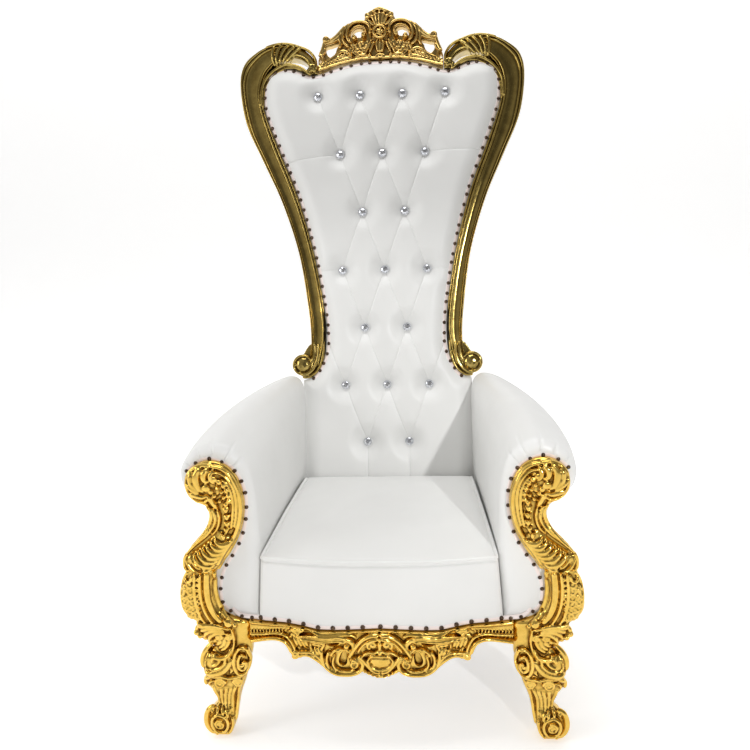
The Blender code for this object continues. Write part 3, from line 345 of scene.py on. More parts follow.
def link(name, mesh):
    obj = bpy.data.objects.new(name, mesh)
    bpy.context.scene.collection.objects.link(obj)
    return obj


def settle(obj):
    """Applies the object's modifiers to its mesh."""
    bpy.context.view_layer.update()
    mesh = bpy.data.meshes.new_from_object(obj.evaluated_get(bpy.context.evaluated_depsgraph_get()))
    obj.modifiers.clear()
    obj.data = mesh


def smooth(mesh, angle=None):
    mesh.shade_smooth()
    if angle:
        mesh.set_sharp_from_angle(angle=math.radians(angle))


def give(obj, material, nodes=()):
    """Hands a finished piece to the frame: its material and the nodes that it stands for."""
    obj.data.materials.clear()
    obj.data.materials.append(material)
    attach(obj, "root")
    if nodes:
        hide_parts(*nodes)
    return obj


def mark_recess_shade(mesh, reach=5, depth=0.0008):
    """Stores at each point how far it lies under the smoothed surface, for the painted shade that darkens the
    recesses.
    """
    count = len(mesh.vertices)
    places = np.empty(count * 3)
    mesh.vertices.foreach_get("co", places)
    places = places.reshape(-1, 3)
    normals = np.empty(count * 3)
    mesh.vertices.foreach_get("normal", normals)
    normals = normals.reshape(-1, 3)
    edges = np.empty(len(mesh.edges) * 2, dtype=np.int64)
    mesh.edges.foreach_get("vertices", edges)
    a, b = edges.reshape(-1, 2).T
    neighbours = np.maximum(1, np.bincount(a, minlength=count) + np.bincount(b, minlength=count))
    soft = places.copy()
    for _ in range(reach):
        total = [np.bincount(a, soft[b, k], count) + np.bincount(b, soft[a, k], count) for k in range(3)]
        soft = np.stack(total, axis=1) / neighbours[:, None]
    under = np.einsum("ij,ij->i", soft - places, normals) / depth
    layer = mesh.attributes.new("recess_shade", "FLOAT", "POINT")
    layer.data.foreach_set("value", np.clip(under, 0, 1).astype(np.float32))


def carved(name, carving, place, material, node, voxel=VOXEL, keep=0.6):
    """Joins a carving's shapes into one solid, softens it a little and puts it in place."""
    mesh = finish_mesh(carving.bm, name)
    obj = link(name, mesh)
    remesh = obj.modifiers.new("one_solid", "REMESH")
    remesh.mode = "VOXEL"
    remesh.voxel_size = voxel
    soften = obj.modifiers.new("soften", "SMOOTH")
    soften.factor = 0.5
    soften.iterations = 2
    lighten = obj.modifiers.new("lighten", "DECIMATE")
    lighten.ratio = keep
    settle(obj)
    # this mark sets where painted shade darkens the gilt's recesses
    mark_recess_shade(obj.data)
    obj.data.transform(place)
    smooth(obj.data)
    return give(obj, material, [node] if node else ())


def mirrored(obj, name, node, material):
    """The left twin of a right piece."""
    mesh = obj.data.copy()
    mesh.transform(Matrix.Scale(-1, 4, (1, 0, 0)))
    mesh.flip_normals()
    return give(link(name, mesh), material, [node] if node else ())


# Materials


def new_material(name):
    """A material with its node tree, its shader and the socket of the object's own coordinates."""
    material = bpy.data.materials.new(name)
    material.use_nodes = True
    tree = material.node_tree
    place = tree.nodes.new("ShaderNodeTexCoord").outputs["Object"]
    return material, tree, tree.nodes["Principled BSDF"], place


def add_node(tree, kind, place=None, **values):
    node = tree.nodes.new(kind)
    for key, value in values.items():
        node.inputs[key].default_value = value
    if place:
        tree.links.new(place, node.inputs["Vector"])
    return node


def add_ramp(tree, source, stops, target=None):
    """A colour ramp, its stops greys or colours, linked on to a socket if one is given."""
    ramp = tree.nodes.new("ShaderNodeValToRGB")
    while len(ramp.color_ramp.elements) < len(stops):
        ramp.color_ramp.elements.new(0.5)
    for element, (at, colour) in zip(ramp.color_ramp.elements, stops):
        element.position = at
        element.color = (*colour, 1.0) if isinstance(colour, tuple) else (colour, colour, colour, 1.0)
    tree.links.new(source, ramp.inputs[0])
    if target:
        tree.links.new(ramp.outputs[0], target)
    return ramp.outputs[0]


def add_mix(tree, factor, a, b, blend="MIX"):
    mix = tree.nodes.new("ShaderNodeMix")
    mix.data_type = "RGBA"
    mix.blend_type = blend
    for socket, value in ((mix.inputs[0], factor), (mix.inputs[6], a), (mix.inputs[7], b)):
        if isinstance(value, (int, float)):
            socket.default_value = value
        elif isinstance(value, tuple):
            socket.default_value = (*value, 1.0)
        else:
            tree.links.new(value, socket)
    return mix.outputs[2]


def add_bump(tree, shader, *layers):
    """Fine relief from the coarsest layer to the finest, each a height, a strength and a depth."""
    below = None
    for height, strength, distance in layers:
        bump = add_node(tree, "ShaderNodeBump", Strength=strength, Distance=distance)
        tree.links.new(height, bump.inputs["Height"])
        if below:
            tree.links.new(below, bump.inputs["Normal"])
        below = bump.outputs["Normal"]
    tree.links.new(below, shader.inputs["Normal"])


def set_values(shader, **values):
    for key, value in values.items():
        shader.inputs[key.replace("_", " ")].default_value = value


def gilt_material(name, bright, mid, deep, roughness, rough_leaf=1.0):
    """Gold leaf over carved wood, uneven in tone, with painted shade that turns it brown in the recesses and darker
    on the flats, and painted highlights on the ridges.
    """
    material, tree, shader, place = new_material(name)
    set_values(shader, Metallic=1.0)
    # Pointiness paints light and shade: ridges bright as painted highlights, flats and hollows darker as painted
    # shade.
    pointed = tree.nodes.new("ShaderNodeNewGeometry").outputs["Pointiness"]
    edge = add_ramp(tree, pointed, ((0.42, 0.1), (0.49, 0.75), (0.53, 1.0)))
    # The recess attribute darkens the hollows further with painted shade.
    recess_shade = tree.nodes.new("ShaderNodeAttribute")
    recess_shade.attribute_name = "recess_shade"
    outside_painted_recess_shade = add_ramp(tree, recess_shade.outputs["Fac"], ((0.15, 1.0), (0.9, 0.0)))
    painted_light_and_shade = add_mix(tree, 1.0, edge, outside_painted_recess_shade, "MULTIPLY")
    leaf = add_node(tree, "ShaderNodeTexNoise", place, Scale=38.0, Detail=5.0, Roughness=0.65)
    tone = add_ramp(tree, leaf.outputs["Fac"], ((0.3, mid), (0.68, bright)))
    # The deep colour is painted shade, mixed in where the mask is low.
    tree.links.new(add_mix(tree, painted_light_and_shade, deep, tone), shader.inputs["Base Color"])
    rub = add_node(tree, "ShaderNodeTexNoise", place, Scale=120.0, Detail=4.0, Roughness=0.7)
    stops = ((0.3, roughness * 0.75), (0.75, roughness * 1.6))
    add_ramp(tree, rub.outputs["Fac"], stops, shader.inputs["Roughness"])
    broad = add_node(tree, "ShaderNodeTexNoise", place, Scale=70.0, Detail=2.0).outputs["Fac"]
    fine = add_node(tree, "ShaderNodeTexNoise", place, Scale=420.0, Detail=3.0, Roughness=0.6).outputs["Fac"]
    add_bump(tree, shader, (broad, 0.2 * rough_leaf, 0.002), (fine, 0.08 * rough_leaf, 0.0006))
    return material


def leather_material(name, colour, shade, roughness=0.46):
    """Smooth white leather with a fine pebble grain, faint stretch marks and an uneven sheen."""
    material, tree, shader, place = new_material(name)
    set_values(shader, Coat_Weight=0.07, Coat_Roughness=0.25)
    cloud = add_node(tree, "ShaderNodeTexNoise", place, Scale=5.0, Detail=3.0)
    add_ramp(tree, cloud.outputs["Fac"], ((0.35, shade), (0.65, colour)), shader.inputs["Base Color"])
    sheen = add_node(tree, "ShaderNodeTexNoise", place, Scale=24.0, Detail=4.0)
    stops = ((0.3, roughness * 0.85), (0.7, roughness * 1.2))
    add_ramp(tree, sheen.outputs["Fac"], stops, shader.inputs["Roughness"])
    crease = add_node(tree, "ShaderNodeTexNoise", place, Scale=14.0, Detail=6.0, Roughness=0.6).outputs["Fac"]
    pebble = add_node(tree, "ShaderNodeTexVoronoi", place, Scale=620.0).outputs["Distance"]
    add_bump(tree, shader, (crease, 0.14, 0.004), (pebble, 0.14, 0.0004))
    return material


def nail_material():
    """Antique bronze, darker in patches."""
    material, tree, shader, place = new_material("bronze_nail")
    set_values(shader, Metallic=0.9)
    patina = add_node(tree, "ShaderNodeTexNoise", place, Scale=180.0, Detail=3.0).outputs["Fac"]
    add_ramp(tree, patina, ((0.35, (0.045, 0.028, 0.02)), (0.7, (0.15, 0.10, 0.07))), shader.inputs["Base Color"])
    add_ramp(tree, patina, ((0.3, 0.42), (0.7, 0.24)), shader.inputs["Roughness"])
    return material


def crystal_material():
    """Cut glass over a silver backing."""
    material, tree, shader, place = new_material("cut_crystal")
    set_values(shader, Metallic=0.85, Coat_Weight=1.0, Coat_Roughness=0.02)
    # The bright spots in the base colour are painted sparkle; the same pattern also varies the roughness.
    spark = add_node(tree, "ShaderNodeTexVoronoi", place, Scale=260.0).outputs["Distance"]
    add_ramp(tree, spark, ((0.1, (0.95, 0.96, 1.0)), (0.8, (0.45, 0.47, 0.52))), shader.inputs["Base Color"])
    add_ramp(tree, spark, ((0.2, 0.03), (0.8, 0.12)), shader.inputs["Roughness"])
    return material


def cloth_material():
    """Black woven dust cloth."""
    material, tree, shader, place = new_material("dust_cloth")
    set_values(shader, Roughness=0.92)
    weave = add_node(tree, "ShaderNodeTexChecker", place, Scale=700.0).outputs["Fac"]
    tone = add_mix(tree, weave, (0.035, 0.035, 0.037), (0.06, 0.06, 0.062))
    tree.links.new(tone, shader.inputs["Base Color"])
    add_bump(tree, shader, (weave, 0.4, 0.0005))
    return material


# The third colour of each gilt is the painted shade of its recesses.
GILT_BASE = gilt_material("gilt_base", (0.93, 0.63, 0.15), (0.74, 0.46, 0.08), (0.17, 0.08, 0.012), 0.16)
GILT_CREST = gilt_material("gilt_crest", (0.84, 0.59, 0.21), (0.62, 0.40, 0.11), (0.10, 0.05, 0.012), 0.17)
# The back's gilt is the same gold painted darker and olive: a painted reflection of a dark room on the stiles.
GILT_BACK_PAINTED_DARK = gilt_material("gilt_back_painted_dark", (0.60, 0.45, 0.14), (0.38, 0.27, 0.075), (0.07, 0.04, 0.012), 0.13, 0.4)
LEATHER = leather_material("white_leather", (0.80, 0.80, 0.785), (0.77, 0.77, 0.755))
EDGING = leather_material("pink_edging", (0.90, 0.80, 0.77), (0.86, 0.75, 0.72), 0.5)
NAIL = nail_material()
CRYSTAL = crystal_material()
CLOTH = cloth_material()


# The back's outlines, drawn on its board: half of each

STILE_OUTER = (
    (22.4, 38.5), (22.0, 43.3), (22.5, 51.5), (24.8, 67.7), (29.3, 82.8), (34.7, 95.3), (39.3, 106.2),
    (40.8, 117.0), (39.6, 123.0), (36.0, 126.4), (32.0, 128.2), (27.0, 128.5), (22.5, 127.0), (19.2, 124.0),
    (18.3, 120.6),
)
STILE_INNER = (
    (19.6, 35.1), (17.6, 43.3), (17.8, 51.5), (20.4, 67.5), (24.6, 84.0), (29.4, 97.0), (33.4, 108.0),
    (34.3, 114.5), (33.6, 118.8), (31.8, 121.6), (29.2, 123.9), (26.2, 124.7), (23.2, 124.1), (21.0, 122.4),
    (20.0, 119.6),
)
LEATHER_EDGE = (
    (23.3, 31.5), (20.6, 33.8), (18.2, 38.4), (17.5, 43.3), (17.8, 51.0), (20.4, 67.5), (24.6, 84.0),
    (29.4, 97.0), (33.4, 108.0), (34.2, 114.0), (33.4, 118.6), (31.6, 120.6), (28.0, 121.6), (24.2, 121.0),
    (20.6, 119.5), (17.4, 119.6), (13.6, 120.9), (9.0, 122.0), (4.5, 122.6), (0.0, 122.7),
)
PAD_HALF = 0.2455
PAD_BOTTOM = -0.133


# Stiles


STILE_PROFILE = (
    (0.0, -1.4), (0.0, 0.3), (0.012, 0.62), (0.03, 0.86), (0.05, 0.95), (0.075, 0.9), (0.095, 0.72), (0.105,
     0.5),
    (0.115, 0.52), (0.125, 0.8), (0.145, 1.08), (0.17, 1.2), (0.195, 1.1), (0.215, 0.85), (0.222, 0.55),
    (0.24, 0.56), (0.30, 0.52), (0.38, 0.46), (0.46, 0.43), (0.54, 0.44), (0.62, 0.50), (0.68, 0.58), (0.72,
     0.62),
    (0.728, 0.45), (0.738, 0.75), (0.755, 1.02), (0.785, 1.2), (0.82, 1.18), (0.85, 0.98), (0.867, 0.7),
    (0.875, 0.46), (0.888, 0.48), (0.9, 0.72), (0.925, 0.9), (0.955, 0.88), (0.98, 0.66), (1.0, 0.35), (1.0,
     -1.2),
)


def stile_sweep():
    """The stile's moulding: beads and grooves on both edges of a broad hollow band."""
    work = Carving()
    stations = 190
    outer = even_path(curve_through(STILE_OUTER, 0.25), 0.2)
    inner = even_path(curve_through(STILE_INNER, 0.25), 0.2)
    rings = []
    for i in range(stations + 1):
        share = i / stations
        a = outer[round(share * (len(outer) - 1))]
        b = inner[round(share * (len(inner) - 1))]
        ring = [work.at(*a, -FRAME_DEPTH * 100 + 0.05), work.at(*b, -FRAME_DEPTH * 100 + 0.05)]
        ring += [work.at(*(a + (b - a) * u), forward) for u, forward in reversed(STILE_PROFILE)]
        rings.append(ring)
    add_loft(work.bm, rings)
    return work


def add_volute(work):
    """The scroll at the stile's lower end: a boss in a ring, with the moulding running into it."""
    centre = (24.6, 36.0)
    work.slab(spiral(centre, 2.8, 2.8, 0, 1.0)[:-1], 0.2, -3.6, step=0.5)
    work.stroke(spiral(centre, 2.65, 2.65, 150, 1.0), 0.34, 0.5, forward=0.3)
    work.stroke(spiral(centre, 3.0, 2.7, 215, 0.75), 0.35, 0.9, forward=-0.1)
    work.ball(*centre, 2.2, forward=0.2, depth=0.9)
    path = [(20.0, 42.0), (20.1, 38.2), (21.3, 35.2), (23.2, 33.4), (25.2, 33.1)]
    work.stroke(path, 0.55, 0.7, forward=0.6)
    work.stroke([(21.4, 42.5), (21.2, 39.0), (21.9, 36.4)], 0.6, 0.4, forward=0.4)
    path = [(18.5, 42.5), (18.6, 38.6), (20.0, 34.8), (22.4, 32.6), (24.8, 32.3)]
    work.stroke(path, 0.42, 0.7, forward=0.3)
    back = [(19.0, 41.0), (19.7, 35.9), (22.5, 32.9), (25.6, 33.0), (26.6, 35.6), (24.8, 38.5), (22.2, 42.0)]
    work.slab(back, 0.2, -3.6)


def add_shoulder(work):
    """Flutes across the shoulder, the curl over the opening, the moulding along the leather, and small leaves."""
    inner = [
        (34.9, 111.0), (34.5, 115.5), (33.6, 118.0), (31.9, 120.1), (29.8, 121.6), (27.4, 122.5),
        (25.0, 122.3),
    ]
    inner += [(22.9, 121.5), (21.2, 120.2), (20.0, 119.4)]
    work.stroke(inner, 0.46, 0.75, forward=0.7)
    work.stroke([(p[0] * 0.985 - 0.1, p[1] - 0.8) for p in inner[:8]], 0.3, 0.5, forward=0.45)
    work.stroke(inner, 0.6, 2.6, forward=-1.9)
    flutes = (
        [(30.3, 128.2), (30.9, 126.3), (30.9, 124.3), (30.4, 122.2)],
        [(28.0, 128.5), (29.3, 126.6), (29.9, 124.4), (29.6, 122.8)],
        [(26.0, 128.3), (27.7, 126.5), (28.7, 124.6), (28.8, 123.2)],
        [(24.2, 127.8), (26.0, 126.2), (27.4, 124.6), (27.9, 123.4)],
        [(22.6, 127.1), (24.4, 125.9), (25.9, 124.6), (26.7, 123.4)],
    )
    work.ridges(flutes, 0.52, 0.95, forward=0.75, taper=(0.8, 1.15, 0.6))
    for line in flutes:
        work.stroke([(p[0] - 0.75, p[1] - 0.35) for p in line[1:]], 0.2, 0.5, forward=0.8, taper=(0.5, 1, 0.5))
    outer = [
        (33.0, 127.6), (30.3, 128.3), (27.9, 128.5), (25.6, 128.2), (23.5, 127.5), (21.2, 126.6),
        (19.7, 125.4),
    ]
    work.stroke([*outer, (18.8, 124.0), (18.5, 122.6), (18.8, 121.0)], 0.42, 0.8, forward=0.75)
    curl = [(26.3, 124.4), (24.9, 125.0), (23.2, 124.8), (21.6, 124.0), (20.4, 122.6), (20.2, 121.2)]
    work.stroke(curl, 0.36, 0.8, forward=0.7)
    work.scroll((19.5, 121.5), 1.0, 0.4, 200, 1.3, 0.3, depth=0.5, forward=1.0)
    for across, up, radius in ((19.9, 121.6, 0.75), (19.1, 120.6, 0.7), (20.5, 120.5, 0.65), (18.5, 121.4, 0.6)):
        work.ball(across, up, radius, forward=0.9)
    work.slab([(18.1, 119.7), (21.4, 119.9), (20.6, 121.8), (18.1, 122.4)], 0.6, -3.0)


def build_stiles():
    work = Carving()
    add_volute(work)
    add_shoulder(work)
    room = (STILE_LIMIT, -BOUNDLESS, -BOUNDLESS), (BOUNDLESS, FRAME_DEPTH - GAP, BOUNDLESS)
    work.clamp(*room)
    right = carved("stile_right", work, Matrix(), GILT_BACK_PAINTED_DARK, "back_stile_right", voxel=0.0015)
    sweep = stile_sweep()
    sweep.clamp(*room)
    bmesh.ops.recalc_face_normals(sweep.bm, faces=sweep.bm.faces)
    sweep.bm.from_mesh(right.data)
    right.data = finish_mesh(sweep.bm, "stile_right")
    right.data.materials.append(GILT_BACK_PAINTED_DARK)
    right.data.transform(BACK_PLACE)
    smooth(right.data, 70)
    mirrored(right, "stile_left", "back_stile_left", GILT_BACK_PAINTED_DARK)


# Crest


CREST_OUTLINE = (
    (0.0, 137.8), (1.7, 137.5), (3.1, 136.6), (4.1, 135.3), (4.6, 134.2), (5.6, 133.9), (6.7, 133.9), (8.2,
     133.5),
    (9.6, 132.8), (10.7, 131.9), (11.8, 130.7), (12.9, 129.7), (14.1, 129.4), (15.2, 129.7), (16.1, 129.2),
    (16.4, 128.2), (16.7, 127.0), (17.3, 125.4), (18.0, 123.9), (18.2, 120.3), (15.0, 121.1), (12.8,
     121.9), (9.9, 122.5),
    (7.1, 122.9), (4.2, 123.1), (0.0, 123.2),
)
CREST_HOLES = (
    ((4.5, 131.2), (5.3, 132.0), (6.4, 132.2), (7.5, 131.7), (8.2, 130.6), (8.2, 129.8), (7.2, 130.1),
     (6.4, 129.8),
     (5.6, 129.9), (5.0, 130.6)),
    ((11.9, 128.2), (12.9, 128.0), (14.3, 127.6), (15.1, 127.5), (15.7, 127.2), (15.6, 126.3), (15.3, 125.3),
     (14.4, 124.5), (13.7, 124.9), (12.9, 125.8), (12.6, 126.9), (12.0, 127.6)),
    ((17.0, 123.7), (17.4, 124.2), (17.75, 123.7), (17.7, 122.9), (17.1, 122.8)),
)


def crest_half(work):
    """Everything right of the middle: C-scroll, bands, straps, knot, stippled field and leaf band."""
    work.plate(CREST_OUTLINE, CREST_HOLES, -0.7, -3.2)
    # the C-scroll and the bands that fall beside it
    c_outer = [
        (2.9, 130.1), (2.7, 131.7), (3.4, 133.0), (4.8, 133.7), (6.2, 133.8), (7.6, 133.5), (8.7, 132.6),
    ]
    work.stroke([*c_outer, (9.3, 131.4), (9.4, 129.8), (8.9, 128.5), (8.1, 128.0)], 0.42, 0.95, forward=0.3)
    c_inner = [(3.9, 130.7), (4.3, 132.1), (5.6, 132.7), (7.2, 132.4), (8.3, 131.3), (8.6, 129.9)]
    work.stroke(c_inner, 0.3, 0.8, forward=-0.05)
    path = [(8.4, 133.4), (9.9, 132.3), (10.5, 130.9), (10.6, 129.2), (10.0, 127.7), (8.9, 126.8)]
    work.stroke(path, 0.42, 0.85, forward=0.2)
    path = [(10.2, 132.1), (11.3, 130.7), (11.6, 129.3), (11.3, 127.8), (11.7, 126.6)]
    work.stroke(path, 0.42, 0.8, forward=0.05)
    for across, up, size in ((4.6, 130.0, 0.78), (7.3, 129.3, 0.85)):
        work.ball(across, up, size, forward=0.45)
        work.scroll((across, up), size * 0.75, 0.2, 120, -1.0, 0.2, depth=0.35, forward=1.1)
    # the strap to the knot and its fall to the shoulder
    path = [(9.6, 132.8), (11.0, 131.4), (12.4, 130.0), (13.8, 129.1), (15.4, 128.8)]
    work.stroke(path, 0.6, 1.0, forward=0.05)
    work.stroke([(11.6, 129.6), (12.9, 128.8), (14.6, 128.3), (16.2, 128.0)], 0.36, 0.8, forward=0.0)
    work.ball(15.5, 129.1, 0.95, forward=0.3)
    work.scroll((15.5, 129.0), 0.95, 0.3, 220, -1.3, 0.26, depth=0.45, forward=1.0)
    work.stroke([(15.9, 128.8), (16.2, 127.6), (16.7, 126.2), (17.4, 124.9)], 0.5, 0.85, forward=0.1)
    work.stroke([(15.7, 127.0), (16.0, 125.8), (16.7, 124.9)], 0.34, 0.7, forward=0.1)
    work.stroke([(16.3, 122.3), (16.4, 124.0), (17.0, 124.9), (17.8, 124.8)], 0.36, 0.75, forward=0.2)
    for across, up, size in ((16.7, 122.2, 0.62), (17.4, 121.4, 0.6), (16.1, 121.7, 0.55)):
        work.flower(across, up, size * 1.5, forward=0.3)
    # the leaf band with its knob
    path = [(8.9, 125.1), (10.5, 125.8), (11.7, 125.4), (12.8, 124.5), (14.2, 123.6), (15.9, 122.8)]
    work.stroke(path, 0.5, 0.8, forward=0.15)
    path = [(8.0, 123.9), (9.9, 123.7), (12.2, 123.0), (13.9, 122.3), (15.8, 121.8)]
    work.stroke(path, 0.46, 0.75, forward=0.1)
    path = [(9.4, 124.6), (11.7, 124.2), (13.9, 123.2), (15.6, 122.3)]
    work.stroke(path, 0.4, 0.6, forward=0.2, taper=(0.7, 1.1, 0.6))
    for i in range(6):
        start = Vector((9.8 + 1.0 * i, 125.3 - 0.45 * i))
        path = [start, start + Vector((0.75, -0.6)), start + Vector((1.1, -1.3))]
        work.stroke(path, 0.17, 0.4, forward=0.6)
    work.ball(8.6, 124.7, 0.75, forward=0.4)
    work.ball(8.6, 124.7, 0.38, forward=1.1)
    # stippled field
    field = [(5.2, 128.6), (8.4, 127.6), (9.8, 126.4), (7.7, 125.1), (6.0, 124.4), (4.0, 126.1), (3.2, 128.4)]
    work.slab(field, -0.2, -2.0)
    dots = random.Random(4)
    for i in range(52):
        across, up = dots.uniform(3.8, 9.0), dots.uniform(124.9, 128.2)
        if abs(across - 6.4) < 2.9 - abs(up - 126.7) * 0.9:
            work.ball(across, up, 0.26, forward=-0.12)
    # base mouldings along the leather
    foot = [
        (0.0, 123.5), (3.1, 123.5), (5.7, 123.4), (7.7, 123.1), (10.5, 122.6), (13.3, 121.9), (16.2, 121.1),
    ]
    work.stroke([*foot, (18.2, 120.7)], 0.4, 0.8, forward=0.2)
    path = [(3.4, 123.7), (4.7, 124.4), (6.1, 124.3), (7.5, 123.7)]
    work.stroke(path, 0.36, 0.65, forward=0.25, taper=(0.6, 1.1, 0.6))
    work.stroke([(4.6, 124.2), (4.9, 124.8), (5.6, 125.0)], 0.28, 0.5, forward=0.3, taper=(1, 1, 0.4))


def crest_middle(work):
    """Shell, rosette, and the flutes that spread down to the keystone."""
    dome = [(-4.3, 133.6), (0, 133.2), (4.3, 133.6), (4.3, 135.1), (3.5, 136.5), (1.8, 137.5), (0.0, 137.9)]
    work.slab([*dome, *[(-x, up) for x, up in dome[5:2:-1]]], -0.4, -2.4)
    path = [(-2.6, 134.0), (2.6, 134.0), (2.2, 129.0), (3.4, 123.6), (-3.4, 123.6), (-2.2, 129.0)]
    work.slab(path, -0.1, -2.6)
    petals = (
        ([(0.0, 132.6), (0.0, 134.6), (0.0, 136.5)], 0.52),
        ([(0.6, 132.8), (0.9, 134.6), (1.25, 136.3)], 0.44),
        ([(1.1, 132.8), (1.7, 134.3), (2.3, 135.6)], 0.44),
        ([(1.6, 132.6), (2.9, 133.7), (4.2, 134.3)], 0.5),
    )
    for side in (1, -1):
        for line, radius in petals:
            work.stroke([(side * x, up) for x, up in line], radius, 0.75, forward=0.15, taper=(0.5, 0.9, 1.2))
        work.stroke([(0, 137.35), (side * 1.1, 137.05), (side * 2.0, 136.4)], 0.36, 0.6, forward=0.35)
        work.ball(side * 3.3, 135.2, 0.9, forward=0.3)
        work.scroll((side * 3.3, 135.2), 0.75, 0.3, 90, -side * 1.1, 0.22, depth=0.4, forward=0.95)
        work.ridges(
            (
                [(side * 0.75, 128.6), (side * 0.95, 126.9), (side * 0.55, 125.0)],
                [(side * 1.6, 128.2), (side * 2.5, 126.2), (side * 3.0, 125.0)],
                [(side * 2.3, 128.8), (side * 3.2, 126.9), (side * 4.0, 125.5), (side * 4.3, 124.4)],
            ),
            0.34, 0.75, forward=0.25, taper=(0.8, 1.1, 0.8),
        )
        work.ball(side * 3.1, 124.2, 0.68, forward=0.55)
        work.ball(side * 3.1, 124.2, 0.34, forward=1.15)
    work.ball(0, 137.2, 0.6, forward=0.5)
    work.ring(spiral((0, 130.7), 1.75, 1.75, 0, 1.0)[:-1], 0.36, 0.75, forward=0.7)
    work.ball(0, 130.7, 1.5, forward=0.1, depth=0.7)
    work.flower(0, 130.7, 1.15, forward=0.75)
    work.stroke([(0, 128.6), (0, 127.0), (0, 125.0)], 0.5, 0.6, forward=0.2, taper=(0.6, 1, 1.2))
    work.ring([(1.2, 123.95), (0, 124.4), (-1.2, 123.95), (0, 123.5)], 0.3, 0.6, forward=0.5)


def drawn_whole(draw_middle, draw_half, bold_half):
    """A carving from its middle and its two halves, all made into one shape."""
    whole = Carving(bold=1.15)
    draw_middle(whole)
    for side in (1, -1):
        half = Carving(side=side, bold=bold_half)
        draw_half(half)
        whole.bm.from_mesh(finish_mesh(half.bm, "half"))
    return whole


def build_crest():
    whole = drawn_whole(crest_middle, crest_half, 1.15)
    whole.clamp((-CREST_HALF, -BOUNDLESS, 1.2), (CREST_HALF, FRAME_DEPTH - GAP, BOUNDLESS))
    carved("crest_carving", whole, BACK_PLACE, GILT_CREST, "crest", voxel=0.0014)


# Arm fronts, drawn from the post's inner edge and up from the joint

ARM_FRONT_OUTLINE = (
    (6.0, 0.0), (4.3, 2.7), (2.2, 5.7), (0.5, 9.1), (-0.6, 12.6), (-1.1, 16.0), (-1.0, 18.5), (-0.6, 20.9),
    (0.4, 23.5), (2.2, 25.7), (4.6, 27.0), (7.1, 27.2), (9.6, 26.4), (11.5, 24.7), (12.2, 22.9), (12.1, 20.7),
    (11.0, 18.3), (9.0, 17.0), (7.0, 16.2), (6.4, 14.5), (7.4, 11.7), (9.1, 9.5), (11.5, 6.9), (13.5, 4.5),
    (14.3, 2.5), (14.4, 0.4), (13.4, -0.4), (7.0, -0.2),
)


